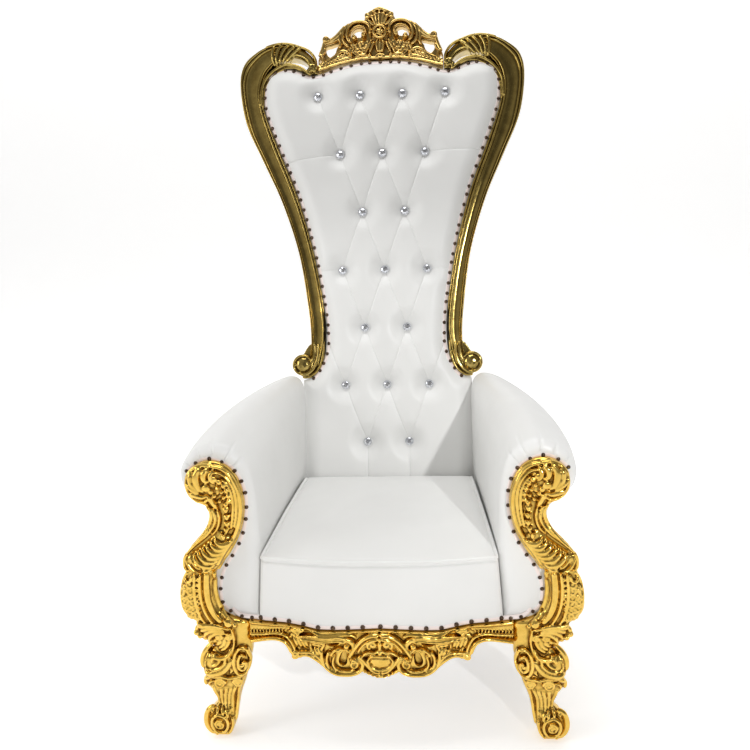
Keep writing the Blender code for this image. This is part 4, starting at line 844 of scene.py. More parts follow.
def build_arm_fronts():
    work = Carving(origin=(POST_X, 0, LEG_TOP))
    work.slab(ARM_FRONT_OUTLINE, 0.35, -1.16, rounding=0.3)
    # the masses under the leaves: head, stem and rounded end
    work.ball(7.6, 21.9, 4.5, forward=0.2, depth=1.4)
    path = [(3.4, 9.4), (5.6, 6.0), (9.0, 2.8), (10.6, 1.6)]
    work.stroke(path, 3.2, 1.2, forward=0.2, taper=(0.8, 1.0, 1.15))
    work.press()
    # reeds along the inner edge, fanned out over the head
    reeds = (
        [(6.8, 26.4), (3.7, 25.7), (1.7, 24.1), (0.4, 21.6), (-0.3, 18.6), (-0.3, 15.2), (0.5, 11.6),
         (2.0, 8.4), (4.4, 4.9), (6.2, 1.6)],
        [(6.0, 25.0), (3.4, 24.3), (1.6, 22.4), (0.7, 20.1), (0.5, 17.2), (0.8, 13.9), (1.5, 11.0)],
        [(3.7, 23.2), (2.3, 21.9), (1.5, 19.8), (1.3, 17.4), (1.6, 14.2), (2.3, 10.6)],
    )
    for reed, radius in zip(reeds, (0.5, 0.42, 0.36)):
        work.stroke(reed, radius, 0.7, forward=0.25, taper=(0.7, 1.15, 0.9))
    # mouldings of the stem's outer side
    stems = (
        [(7.6, 16.6), (6.7, 15.0), (6.9, 13.0), (8.0, 10.6), (10.2, 7.8), (12.4, 5.6), (13.4, 4.4)],
        [(6.4, 16.0), (5.8, 14.4), (5.9, 12.6), (6.8, 10.9), (8.4, 9.0), (10.8, 6.8)],
        [(5.1, 15.6), (4.8, 13.8), (5.1, 11.8), (5.9, 10.3), (7.2, 9.0)],
    )
    for stem, radius in zip(stems, (0.46, 0.4, 0.36)):
        work.stroke(stem, radius, 0.75, forward=0.3, taper=(0.9, 1.1, 0.5))
    # husks that hang down the channel
    for i, (across, up) in enumerate(((3.1, 15.7), (3.0, 13.9), (3.1, 12.2), (3.4, 10.6), (4.0, 9.3))):
        size = 0.72 - 0.05 * i
        work.ball(across, up, size, forward=0.35, depth=0.8, squeeze=0.8)
        path = [(across - size, up + 0.5), (across, up - 0.75), (across + size, up + 0.5)]
        work.stroke(path, 0.24, 0.5, forward=0.5)
    # nested leaves that wrap the lower stem
    for i in range(8):
        t = i / 7
        left = Vector((1.9, 9.0)).lerp(Vector((8.2, -0.3)), t)
        low = Vector((3.9, 6.7)).lerp(Vector((11.2, -0.9)), t)
        right = Vector((6.3, 8.6)).lerp(Vector((13.7, 3.2)), t)
        path = [
            left, left.lerp(low, 0.6) + Vector((-0.3, -0.2)), low.lerp(right, 0.25) + Vector((0.1, -0.25)),
        ]
        path += [low.lerp(right, 0.7) + Vector((0.4, -0.3)), right]
        work.stroke(path, 0.56, 0.85, forward=0.2, taper=(0.45, 1.15, 0.4))
        work.stroke([p + Vector((0.15, 0.55)) for p in path[1:4]], 0.2, 0.35, forward=0.45)
    end = [(13.5, 4.4), (14.3, 2.6), (14.2, 0.6), (13.0, -0.3)]
    work.stroke(end, 0.4, 0.8, forward=0.1)
    work.ball(12.4, 2.6, 1.5, forward=-0.1, depth=0.9)
    # the head: a rim, swirling leaf lobes and a bunch of beads
    rim = [(5.6, 26.4), (8.2, 26.4), (10.1, 25.6), (11.4, 24.1), (11.8, 22.3), (11.8, 20.6), (11.1, 19.0)]
    work.stroke([*rim, (9.8, 17.9), (8.2, 17.2), (7.2, 16.7)], 0.45, 0.8, forward=0.1)
    lobes = (
        ([(8.1, 26.0), (9.2, 24.4), (9.2, 22.6), (8.5, 21.0), (7.4, 20.4)], 0.75),
        ([(6.3, 25.9), (7.4, 24.6), (7.3, 23.2), (6.2, 22.7)], 0.65),
        ([(10.2, 25.4), (10.6, 24.0), (10.6, 22.6), (9.8, 21.3), (8.6, 20.3)], 0.6),
        ([(11.6, 22.2), (10.9, 21.4), (9.8, 20.5), (8.8, 19.8)], 0.55),
        ([(11.2, 19.9), (9.6, 19.4), (8.0, 19.0), (6.9, 19.6)], 0.6),
        ([(10.4, 18.3), (9.2, 17.8), (7.8, 17.7), (6.8, 18.6)], 0.5),
        ([(5.2, 25.6), (5.9, 24.2), (5.6, 22.9), (4.9, 22.3)], 0.5),
    )
    for lobe, radius in lobes:
        work.stroke(lobe, radius, 0.9, forward=0.25, taper=(0.9, 1.1, 0.4))
        work.stroke([(p[0] + 0.1, p[1] + 0.15) for p in lobe[:-1]], 0.2, 0.35, forward=0.85, taper=(0.5, 1, 0.5))
    work.ball(7.0, 21.4, 0.95, forward=0.5)
    work.ball(6.0, 20.4, 0.7, forward=0.4)
    beads = ((5.0, 23.4), (4.0, 22.6), (3.2, 21.5), (2.6, 20.3), (2.2, 19.0), (2.2, 17.7), (3.0, 16.9))
    for across, up in beads:
        work.ball(across, up, 0.66, forward=0.55)
    for across, up in ((4.6, 21.2), (3.8, 19.9), (3.4, 18.5), (4.4, 17.6), (5.4, 19.2)):
        work.ball(across, up, 0.55, forward=0.35)
    path = [(6.8, 19.4), (6.2, 18.0), (5.6, 16.8), (5.0, 15.6)]
    work.stroke(path, 0.6, 0.9, forward=0.4, taper=(0.6, 1.2, 0.4))
    work.ease_forward(1.7, 2.85)
    work.clamp((-BOUNDLESS, -0.0285, LEG_TOP + 0.0004), (0.4795, ARM_FRONT_Y - GAP, BOUNDLESS))
    right = carved("arm_front_right_carving", work, FRONT_PLACE, GILT_BASE, "arm_front_right")
    mirrored(right, "arm_front_left_carving", "arm_front_left", GILT_BASE)


# Front legs, drawn from the post's inner edge and up from the floor

# height, inner edge, outer edge, how far to the front and to the back
LEG_PROFILE = (
    (-1.5, 7.4, 10.2, -0.4, 3.2), (0.7, 6.6, 10.9, 0.6, 4.0), (3.0, 5.6, 12.2, 1.1, 4.4), (5.5, 5.0, 12.2,
     1.2, 4.3),
    (7.4, 4.6, 11.2, 0.7, 3.8), (8.8, 4.3, 10.0, 0.1, 3.4), (10.2, 4.0, 9.8, -0.2, 3.4), (11.6, 3.6, 10.4,
     0.0, 3.6),
    (13.2, 3.0, 11.6, 0.4, 4.0), (15.0, 2.3, 12.2, 0.6, 4.2), (17.4, 1.6, 12.2, 0.7, 4.4),
    (19.5, 1.1, 12.2, 0.8, 4.5), (21.7, 0.4, 11.8, 0.7, 4.5), (23.6, 0.0, 10.4, 0.4, 4.5), (25.2, 0.0, 9.4,
     0.3, 4.5),
    (27.2, 0.0, 11.6, 0.4, 4.5), (29.6, 0.0, 12.6, 0.6, 4.5), (31.4, 0.0, 13.4, 0.8, 4.5),
    (33.0, 4.4, 15.2, 1.0, 4.5), (35.4, 7.0, 16.4, 1.2, 4.5), (38.6, 7.9, 16.2, 1.3, 4.5),
    (41.5, 7.9, 15.5, 1.2, 4.5), (44.0, 7.2, 14.8, 1.1, 4.5), (47.0, 6.0, 14.3, 1.0, 4.5),
)


def leg_body(work):
    """The leg's mass: rounded squares from the foot to the top of the post."""
    rings = []
    for up, inner, outer, front, back in curve_through(LEG_PROFILE, 0.8):
        ring = []
        for c, s in circle(LEG_SIDES):
            c = math.copysign(abs(c) ** 0.6, c)
            s = math.copysign(abs(s) ** 0.6, s)
            across = (inner + outer) / 2 + c * (outer - inner) / 2
            ring.append(work.at(across, up, (front - back) / 2 + s * (front + back) / 2))
        rings.append(ring)
    add_loft(work.bm, rings)


def add_foot(work):
    """The scroll foot: a ring round a boss on its face, a full outer lobe, and leaf tips over its top."""
    ring = [(7.9, 5.9), (9.5, 6.5), (10.9, 5.4), (11.2, 3.4), (10.1, 1.6), (8.4, 1.6), (7.4, 2.9), (7.2, 4.6)]
    work.ring(ring, 0.42, 0.75, forward=0.2)
    work.scroll((9.2, 3.8), 1.35, 0.5, 120, -1.4, 0.3, depth=0.6, forward=0.25)
    work.ball(9.2, 3.8, 0.55, forward=0.35)
    for across, up, lean in ((7.4, 6.9, -0.5), (8.4, 7.5, -0.2), (9.5, 7.8, 0.2), (10.6, 7.6, 0.6)):
        path = [(across, up + 0.9), (across + lean * 0.3, up), (across + lean, up - 1.0)]
        work.stroke(path, 0.42, 0.6, forward=0.35)
    lobe = [(10.6, 8.5), (12.0, 7.3), (12.7, 5.4), (12.7, 3.2), (11.8, 1.4), (10.0, 0.4)]
    work.stroke(lobe, 0.75, 0.9, forward=0.1, taper=(0.6, 1.1, 0.7))
    work.stroke([(6.0, 6.0), (6.0, 4.0), (6.6, 2.0), (7.8, 0.7)], 0.42, 0.7, forward=0.2)


def add_shaft(work):
    """The waisted shaft: long flutes between two small volutes and the foot."""
    flutes = (
        [(4.6, 14.0), (5.6, 11.6), (5.9, 9.4), (5.9, 7.0)],
        [(5.8, 13.6), (6.5, 11.4), (6.7, 9.0), (6.6, 6.6)],
        [(7.0, 13.4), (7.5, 11.2), (7.6, 9.2), (7.4, 7.8)],
        [(8.4, 13.4), (8.5, 11.4), (8.5, 9.8), (8.3, 8.6)],
        [(10.4, 14.0), (10.0, 12.2), (9.4, 10.4), (9.2, 8.8)],
    )
    work.ridges(flutes, 0.42, 0.42, forward=0.05, taper=(0.7, 1.1, 0.7))
    edge = [(2.4, 16.8), (3.6, 14.0), (4.4, 10.8), (4.9, 7.2), (5.4, 4.4)]
    work.stroke(edge, 0.4, 0.6, forward=0.1)
    work.scroll((8.3, 15.3), 1.45, 0.5, 190, -1.6, 0.38, depth=0.65, forward=0.3)
    work.ball(8.3, 15.3, 0.55, forward=0.6)
    work.scroll((3.9, 15.4), 1.25, 0.45, -10, 1.6, 0.35, depth=0.6, forward=0.3)
    work.ball(3.9, 15.4, 0.5, forward=0.55)
    path = [(10.3, 16.9), (11.6, 16.4), (12.3, 15.2), (12.2, 13.8)]
    work.stroke(path, 0.55, 0.8, forward=0.2, taper=(0.7, 1.1, 0.7))
    work.stroke([(9.9, 16.0), (10.9, 15.4), (11.3, 14.2)], 0.32, 0.6, forward=0.3)
    ledge = [(2.3, 17.3), (4.2, 17.1), (6.0, 16.8), (7.8, 17.3), (9.8, 17.1), (11.3, 17.5), (12.3, 18.2)]
    work.stroke(ledge, 0.42, 0.75, forward=0.3)


def add_knee(work):
    """The knee: a full C-scroll with leaves inside it, and beside it an oval boss that coils inward."""
    work.ball(9.0, 20.6, 3.0, forward=-0.3, depth=1.2)
    lip = [(4.9, 22.2), (5.6, 20.6), (6.9, 19.1), (8.6, 18.3), (10.6, 18.0), (12.2, 18.6)]
    work.stroke(lip, 0.75, 1.0, forward=0.5, taper=(0.6, 1.1, 0.8))
    path = [(9.6, 25.6), (11.1, 24.0), (12.2, 22.0), (12.5, 20.0), (12.1, 18.4)]
    work.stroke(path, 0.7, 1.0, forward=0.4, taper=(0.6, 1.1, 0.9))
    work.stroke([(10.4, 23.6), (11.3, 22.0), (11.5, 20.2), (10.8, 19.2)], 0.26, 0.7, forward=0.9)
    inner = (
        [(6.2, 22.6), (6.7, 21.0), (7.9, 19.8), (9.5, 19.2), (10.6, 19.5)],
        [(7.4, 22.9), (7.9, 21.6), (8.9, 20.6), (10.0, 20.2)],
        [(8.7, 23.6), (9.4, 22.4), (10.1, 21.2)],
    )
    work.ridges(inner, 0.4, 0.75, forward=0.7, taper=(0.7, 1.1, 0.6))
    path = [(4.8, 25.0), (5.6, 23.2), (7.2, 22.4), (9.2, 22.6), (9.9, 23.6)]
    work.stroke(path, 0.5, 0.85, forward=0.6, taper=(0.5, 1.2, 0.5))
    leaves = (
        [(4.9, 28.6), (5.2, 26.8), (6.1, 25.0), (7.6, 23.8)],
        [(6.0, 28.4), (6.2, 26.8), (6.9, 25.4), (8.2, 24.4)],
        [(7.1, 28.2), (7.3, 26.9), (7.9, 25.8), (9.0, 25.0)],
        [(8.3, 27.8), (8.6, 26.8), (9.1, 26.0)],
    )
    work.ridges(leaves, 0.5, 0.6, forward=0.2, taper=(0.6, 1.15, 0.4))
    for leaf in leaves[:3]:
        work.stroke([(p[0] + 0.5, p[1] - 0.1) for p in leaf[:3]], 0.2, 0.45, forward=0.3, taper=(0.5, 1, 0.5))
    creases = [(5.4, 20.4), (5.2, 18.9), (5.6, 17.9)], [(4.8, 21.6), (4.7, 19.8), (4.9, 18.4)]
    work.ridges(creases, 0.3, 0.5, forward=0.2)
    oval = [
        (0.5, 22.6), (1.1, 24.6), (2.4, 25.0), (3.6, 23.9), (4.3, 21.8), (4.2, 19.5), (3.3, 18.0),
        (2.2, 17.9), (1.2, 19.0), (0.6, 20.8),
    ]
    work.ring(oval, 0.46, 0.85, forward=0.5)
    coil = [
        (1.5, 22.6), (2.5, 23.2), (3.2, 21.8), (3.2, 19.9), (2.3, 19.1), (1.5, 20.0), (1.7, 21.2),
        (2.4, 21.2),
    ]
    work.stroke(coil, 0.42, 0.8, forward=0.6)
    work.ball(2.4, 20.4, 0.5, forward=0.9)


def add_cuff(work):
    """Leaf lobes that hang under the bulging post, the edge of the plain block beside them, and a knob."""
    folds = (
        [(6.4, 30.9), (8.8, 31.3), (11.2, 31.0), (12.9, 30.0), (13.3, 28.8)],
        [(6.2, 30.2), (8.4, 30.6), (10.4, 30.3), (12.0, 29.2), (12.4, 27.9)],
        [(6.0, 29.5), (7.8, 29.9), (9.6, 29.6), (10.9, 28.5), (11.3, 27.2)],
        [(5.8, 28.8), (7.2, 29.2), (8.6, 28.9), (9.7, 27.9), (10.0, 26.6)],
    )
    work.ridges(folds, 0.6, 0.95, forward=0.3, taper=(0.5, 1.05, 0.75))
    for fold in folds:
        work.stroke([(p[0] - 0.1, p[1] + 0.28) for p in fold[1:4]], 0.16, 0.4, forward=0.9, taper=(0.5, 1, 0.5))
        work.ball(fold[-1][0] - 0.1, fold[-1][1], 0.72, forward=0.3)
    for across, up in ((7.6, 28.0), (5.2, 28.0)):
        work.scroll((across, up), 0.95, 0.35, 60, 1.3, 0.28, depth=0.5, forward=0.5)
        work.ball(across, up, 0.5, forward=0.6)
    work.stroke([(4.6, 30.2), (7.3, 31.0), (10.2, 31.3), (12.8, 31.8)], 0.4, 0.7, forward=0.4)
    work.ball(4.9, 32.0, 0.95, forward=0.4)
    work.scroll((4.9, 32.0), 1.0, 0.45, 20, 1.2, 0.26, depth=0.45, forward=0.9)
    work.ball(3.4, 31.2, 0.6, forward=0.25)
    work.stroke([(4.2, 30.2), (3.9, 27.4), (4.2, 25.2), (5.0, 23.2), (5.8, 21.8)], 0.36, 0.7, forward=0.25)


def add_post(work):
    """The bulging post: smooth mouldings along the leather, a scalloped ridge, and blossoms on the outer side."""
    mouldings = (
        ([(7.3, 45.2), (7.8, 41.0), (7.6, 37.4), (6.5, 34.6), (4.9, 32.7), (3.6, 31.7)], 0.62, 0.6),
        ([(9.0, 45.2), (9.4, 41.0), (9.2, 37.2), (8.2, 34.2), (6.6, 31.9)], 0.72, 0.45),
        ([(10.5, 45.0), (10.9, 41.0), (10.7, 37.2), (9.9, 34.2), (8.6, 31.7)], 0.36, 0.7),
        ([(11.9, 45.0), (12.3, 40.4), (12.1, 36.6), (11.4, 33.6), (10.4, 31.7)], 0.34, 0.65),
    )
    for path, radius, depth in mouldings:
        work.stroke(path, radius, depth, forward=0.2, taper=(0.95, 1.1, 0.8))
    for i in range(8):
        up = 43.4 - 1.35 * i
        bend = 11.3 + 0.35 * math.sin((up - 31) / 12 * math.pi)
        path = [(bend - 0.3, up + 0.6), (bend + 0.2, up), (bend - 0.3, up - 0.5)]
        work.stroke(path, 0.2, 0.45, forward=0.25)
    edge = [(13.7, 45.2), (14.9, 43.0), (15.5, 40.4), (15.6, 37.6), (15.2, 35.2), (14.0, 33.2)]
    work.stroke(edge, 0.5, 0.7, forward=-0.1, taper=(0.8, 1.1, 0.7))
    work.stroke([(12.6, 44.6), (13.0, 43.2), (14.0, 42.8), (14.6, 43.8)], 0.4, 0.75, forward=0.3)
    places = (
        (13.3, 41.6), (14.5, 40.9), (13.2, 39.9), (14.8, 39.0), (13.5, 38.2), (14.7, 37.2), (13.2, 36.6),
    )
    for across, up in (*places, (14.5, 35.6), (13.0, 35.0), (13.8, 33.9), (12.2, 33.4)):
        work.flower(across, up, 1.1, forward=0.2)


def build_legs():
    work = Carving(origin=(POST_X, 0, 0))
    leg_body(work)
    work.press()
    add_foot(work)
    add_shaft(work)
    add_cuff(work)
    add_post(work)
    add_knee(work)
    work.ease_forward(1.4, 2.62)
    work.clamp((0.3154, -0.0262, 0.0), (0.4797, 0.0446, LEG_TOP))
    # the post stands in front of the arm cushion, above the side rail
    for v in work.bm.verts:
        if v.co.z > 0.315:
            v.co.y = min(v.co.y, ARM_FRONT_Y - GAP)
    right = carved("front_leg_right_carving", work, FRONT_PLACE, GILT_BASE, "front_leg_right", keep=0.5)
    mirrored(right, "front_leg_left_carving", "front_leg_left", GILT_BASE)


# Apron, drawn from the middle of the chair and up from the floor

APRON_TOP = (
    (0.0, 29.4), (5.4, 29.1), (10.2, 28.9), (14.5, 29.0), (18.2, 30.0), (22.0, 30.8), (27.7, 31.3), (31.5,
     32.2),
)
APRON_BOW = 0.030
APRON_ARCH = 0.020


def interpolate(table, at):
    """A value read off a table of straight pieces."""
    if at <= table[0][0]:
        return table[0][1]
    for low, high in zip(table, table[1:]):
        if at <= high[0]:
            return low[1] + (high[1] - low[1]) * (at - low[0]) / (high[0] - low[0])
    return table[-1][1]


def middle_share(x):
    """One in the middle of the apron and nothing at the posts, along a parabola."""
    return 1 - (x / POST_X) ** 2


def apron_top(x):
    """Height of the apron's upper edge at one place across the chair."""
    return interpolate(APRON_TOP, abs(x) * 100) / 100 + APRON_ARCH * middle_share(x)


APRON_LOWER = (
    (0.0, 16.5), (1.4, 16.6), (2.9, 17.4), (4.1, 18.0), (5.8, 17.4), (7.7, 17.1), (9.7, 17.3), (11.3, 17.8),
    (12.8, 18.8), (14.0, 20.0), (15.5, 21.1), (17.2, 22.3), (18.4, 22.4), (19.8, 22.1), (21.2, 22.6), (21.8,
     23.6),
    (22.2, 25.1), (23.1, 26.1), (24.8, 26.6), (27.4, 26.7), (30.7, 26.2), (33.0, 25.8),
)
APRON_HOLES = (
    ((9.6, 25.9), (10.8, 26.0), (12.5, 25.6), (12.8, 25.2), (12.0, 24.7), (11.0, 24.6), (9.9, 25.2)),
    ((8.2, 23.0), (8.9, 23.2), (9.5, 22.3), (10.0, 20.9), (9.8, 19.8), (8.9, 19.4), (8.2, 20.0), (8.0, 21.2),
     (8.0, 22.3)),
)


def apron_half(work):
    """Right half: arched band beside the leg, cusp, leaf, lower strap, and two scrolls round two openings."""
    top = [(33.0, 32.3), *reversed(APRON_TOP[:-1])]
    work.plate([*APRON_LOWER, *top], APRON_HOLES, -0.5, -2.4)
    for hole in APRON_HOLES:
        middle = sum((Vector(q) for q in hole), Vector((0, 0))) / len(hole)
        work.slab([middle + (Vector(q) - middle) * 1.5 for q in hole], -1.7, -2.4)
    # plain band, the arch under it with short cuts, and the line along the leather
    path = [(21.0, 31.0), (26.0, 31.3), (33.0, 32.0), (33.0, 29.7), (28.3, 29.4), (23.6, 29.6), (21.6, 29.3)]
    work.slab(path, 0.1, -1.5, rounding=0.3)
    edge = [
        (0, 29.1), (4.7, 29.0), (7.6, 28.9), (9.9, 28.7), (12.3, 28.6), (14.2, 28.9), (16.0, 29.5),
        (18.2, 30.1),
    ]
    lower_rim = [*edge, (21.3, 30.6), (26.0, 30.9), (33.0, 31.7)]
    work.stroke([(x, up + 0.15) for x, up in lower_rim], 0.45, 0.7, forward=-0.1)
    path = [
        (33.0, 28.6), (28.3, 28.5), (26.0, 28.7), (24.1, 28.6), (22.6, 28.0), (21.6, 26.9), (20.9, 25.4),
        (20.4, 23.9),
    ]
    work.stroke(path, 0.3, 0.7, forward=0.05)
    path = [
        (33.0, 26.4), (28.3, 27.1), (26.0, 27.3), (24.3, 27.1), (22.9, 26.4), (22.1, 25.4), (21.6, 24.2),
        (21.2, 23.2),
    ]
    work.stroke(path, 0.5, 1.0, forward=-0.05)
    for i in range(12):
        across = 31.2 - 0.8 * i
        work.stroke([(across, 28.9), (across + 0.1, 29.8)], 0.17, 0.35, forward=0.1)
    for i in range(9):
        across = 30.6 - 0.95 * i
        work.stroke([(across, 27.4), (across + 0.25, 28.2)], 0.16, 0.3, forward=-0.45)
    work.scroll((20.5, 23.0), 1.0, 0.4, -30, -1.3, 0.34, depth=0.6, forward=0.25)
    work.ball(20.5, 23.0, 0.5, forward=0.6)
    work.ball(19.2, 22.6, 0.6, forward=0.2)
    # shell on the band, and the veined leaf under it
    for across, up in ((17.9, 29.8), (18.6, 30.4), (19.5, 30.5), (20.4, 30.4), (21.1, 29.8)):
        path = [(19.5, 28.6), ((across + 19.5) / 2, (up + 28.8) / 2), (across, up)]
        work.stroke(path, 0.34, 0.6, forward=0.5, taper=(0.4, 0.9, 1.25))
    work.ball(19.5, 28.7, 0.5, forward=0.75)
    work.slab([(16.9, 28.2), (21.4, 28.3), (20.6, 25.8), (19.4, 24.0), (17.6, 23.7), (16.4, 24.8)], 0.0, -2.0)
    veins = (
        [(18.2, 27.7), (17.2, 24.8)], [(18.9, 28.1), (17.9, 24.5)], [(19.7, 28.0), (18.8, 24.6)],
        [(20.6, 27.8), (19.7, 25.0)],
    )
    work.ridges(veins, 0.34, 0.55, forward=0.1, taper=(0.7, 1.1, 0.4))
    # upper scroll: a broad band with raised edges that coils over the upper opening
    upper = [
        (20.2, 28.0), (19.0, 27.6), (17.5, 27.6), (15.6, 27.4), (13.7, 27.1), (11.8, 27.1), (9.9, 27.3),
        (8.0, 27.0), (6.7, 26.2),
    ]
    path = [*upper, (6.2, 25.2), (6.4, 24.3), (7.1, 23.8), (7.9, 24.1), (8.3, 24.9)]
    work.stroke(path, 0.66, 1.1, forward=-0.1, taper=(0.7, 1.1, 0.6))
    work.stroke([(p[0], p[1] + 0.5) for p in upper[1:8]], 0.2, 0.5, forward=0.75)
    work.stroke([(p[0], p[1] - 0.5) for p in upper[1:8]], 0.2, 0.5, forward=0.75)
    work.ball(7.9, 25.2, 0.75, forward=0.4)
    path = [
        (16.6, 29.5), (15.4, 28.7), (14.0, 28.1), (12.3, 27.95), (10.4, 28.1), (8.5, 28.3), (6.8, 28.2),
        (5.3, 27.5),
    ]
    work.stroke(path, 0.36, 0.75, forward=0.2, taper=(0.5, 1.1, 0.6))
    # large C-scroll: outer band, inner rim round the bowl, coil
    outer = [
        (13.9, 24.2), (14.0, 21.9), (13.4, 20.1), (12.1, 18.7), (10.5, 17.9), (8.7, 17.7), (6.9, 17.8),
        (5.3, 18.4), (4.4, 19.5),
    ]
    path = [*outer, (4.3, 20.7), (4.9, 21.6), (5.8, 22.0), (6.8, 21.8), (7.3, 21.1)]
    work.stroke(path, 0.5, 1.0, forward=0.1, taper=(0.7, 1.1, 0.7))
    path = [(12.2, 23.8), (12.8, 22.0), (12.7, 20.3), (11.8, 19.1), (10.4, 18.5)]
    work.stroke(path, 0.36, 0.8, forward=0.1)
    path = [(10.8, 22.9), (11.3, 21.5), (11.3, 20.1), (10.4, 19.0), (8.9, 18.5), (7.2, 18.6), (6.1, 19.3)]
    work.stroke(path, 0.3, 0.8, forward=0.05)
    work.ball(6.3, 20.8, 0.95, forward=0.3)
    work.scroll((6.3, 20.8), 1.15, 0.4, 60, 1.3, 0.26, depth=0.5, forward=0.95)
    work.stroke([(9.4, 23.8), (10.3, 24.3), (11.3, 23.6), (11.8, 22.4)], 0.36, 0.8, forward=0.15)
    work.stroke([(8.4, 23.9), (9.3, 24.4), (10.4, 24.6)], 0.3, 0.6, forward=0.1)
    # lower strap and the leaves over it
    path = [(20.0, 22.6), (18.4, 22.9), (17.0, 22.7), (15.4, 21.7), (14.0, 20.5), (12.8, 19.3)]
    work.stroke(path, 0.5, 1.0, forward=-0.1)
    path = [(19.9, 23.7), (18.2, 23.7), (16.6, 23.6), (15.4, 22.9), (14.3, 21.7), (13.6, 20.6)]
    work.stroke(path, 0.34, 0.8, forward=0.2)
    leaves = (
        [(15.6, 25.0), (15.1, 23.6), (14.4, 22.4)], [(14.7, 24.9), (14.3, 23.4), (13.8, 22.2)],
        [(16.5, 24.7), (16.2, 23.7), (15.4, 22.9)],
    )
    work.ridges(leaves, 0.38, 0.7, forward=0.05, taper=(0.6, 1.1, 0.4))
    work.stroke([(13.0, 25.7), (14.6, 26.2), (16.3, 26.5), (17.4, 26.9)], 0.38, 0.8, forward=0.1)
    work.stroke([(13.0, 25.7), (13.6, 25.0), (14.0, 24.0)], 0.32, 0.7, forward=0.1)
    work.stroke([(14.1, 25.2), (15.3, 25.6), (16.3, 25.7)], 0.28, 0.6, forward=0.1)


def apron_middle(work):
    """The cartouche: straps from scroll to scroll, a shield, small volutes over it, leaves under it."""
    for side in (1, -1):
        arc = [(0, 28.2), (1.8, 28.1), (3.5, 27.4), (4.7, 26.4), (5.8, 25.0), (6.8, 23.4), (7.5, 22.2)]
        work.stroke([(side * x, up) for x, up in arc], 0.5, 0.95, forward=0.25)
        second = [(0, 27.3), (1.5, 27.1), (2.8, 26.5), (3.9, 25.6), (4.7, 24.6), (5.4, 23.4)]
        work.stroke([(side * x, up) for x, up in second], 0.3, 0.7, forward=0.15)
        path = [
            (side * 0.3, 26.9), (side * 1.4, 26.9), (side * 2.6, 26.3), (side * 2.9, 25.2),
            (side * 2.2, 24.5),
        ]
        work.stroke(path, 0.32, 0.75, forward=0.25)
        work.scroll((side * 1.65, 25.6), 0.9, 0.3, 90 - side * 90, side * 1.3, 0.28, depth=0.55, forward=0.3)
        work.ball(side * 1.65, 25.6, 0.45, forward=0.6)
        path = [
            (side * 0.4, 24.1), (side * 1.4, 23.5), (side * 2.5, 23.7), (side * 3.6, 23.2),
            (side * 4.2, 22.6),
        ]
        work.stroke(path, 0.32, 0.7, forward=0.25)
        under = [(0, 18.3), (1.3, 18.5), (2.5, 19.4), (3.4, 20.6), (4.2, 21.8), (5.2, 22.6)]
        work.stroke([(side * x, up) for x, up in under], 0.42, 0.85, forward=0.2)
        work.ball(side * 2.1, 22.7, 0.5, forward=0.6)
        for across, up, angle in ((0.75, 17.6, 80), (1.7, 17.9, 60), (2.6, 18.3, 40), (3.4, 18.7, 25)):
            reach = Vector((math.cos(math.radians(angle)), -math.sin(math.radians(angle))))
            start = Vector((across, up + 0.2))
            lobe = [start, start + reach * 0.5, start + reach * 0.95]
            work.stroke([(side * p.x, p.y) for p in lobe], 0.46, 0.75, forward=0.35, taper=(0.6, 1.2, 0.6))
    shield = [(0, 22.6), (1.3, 22.6), (2.5, 22.2), (3.0, 21.2), (2.4, 19.9), (1.1, 19.1), (0, 18.95)]
    shield = [*shield, *[(-x, up) for x, up in reversed(shield[1:-1])]]
    work.slab(shield, 0.2, -1.0)
    work.ball(0, 20.9, 2.5, forward=0.1, depth=0.75, squeeze=0.7)
    work.ring(shield, 0.26, 0.5, forward=0.4)
    work.stroke([(0, 24.0), (0, 25.4), (0, 26.8)], 0.4, 0.6, forward=0.4, taper=(0.6, 1.2, 0.6))
    work.ball(0, 27.0, 0.5, forward=0.6)
    work.ball(0, 23.5, 0.55, forward=0.5)
    work.stroke([(0, 18.2), (0, 17.4), (0, 16.9)], 0.5, 0.8, forward=0.4, taper=(0.7, 1.2, 0.7))


def build_apron():
    whole = drawn_whole(apron_middle, apron_half, 1.2)
    for v in whole.bm.verts:
        v.co.x = max(-POST_X, min(POST_X, v.co.x))
        v.co.y -= APRON_BOW * middle_share(v.co.x)
        v.co.z = min(v.co.z + APRON_ARCH * middle_share(v.co.x), apron_top(v.co.x) - 0.0004)
    carved("apron_carving", whole, FRONT_PLACE, GILT_BASE, "front_apron", voxel=0.0016)


# Upholstery of the back

BUTTON_ROWS = (4, 3, 2, 3, 2, 3, 2)
BUTTON_SPACING = 0.122
BUTTON_PITCH = 0.1667
BUTTON_TOP = 1.132
BUTTON_HOLLOW = 0.0125
PAD_RISE = 0.024
PAD_ROLL = 0.05
FOLD_REACH = 0.045
CREASE_WIDTH = 0.0021
CREASE_DEPTH = 0.0026
# side folds: row of the button, how far out and how far up
SIDE_FOLDS = ((1, 0.16, 0.0), (3, 0.10, 0.0), (5, 0.05, 0.13))
SHELL_HALF = 0.2365
SHELL_FRONT = FRAME_DEPTH + GAP
SHELL_DEPTH = 0.041
# the shell's edge: share of the depth, and how far in from the outline
SHELL_LAYERS = (
    (0.0, 0.004), (0.2, 0.003), (0.45, 0.003), (0.65, 0.004), (0.8, 0.0065), (0.91, 0.011), (0.975, 0.016),
)


def button_places():
    """The buttons' centres on the back's board, row by row from the top."""
    places = []
    for row, count in enumerate(BUTTON_ROWS):
        up = BUTTON_TOP - row * BUTTON_PITCH
        places += [Vector(((i - (count - 1) / 2) * BUTTON_SPACING, up)) for i in range(count)]
    return places


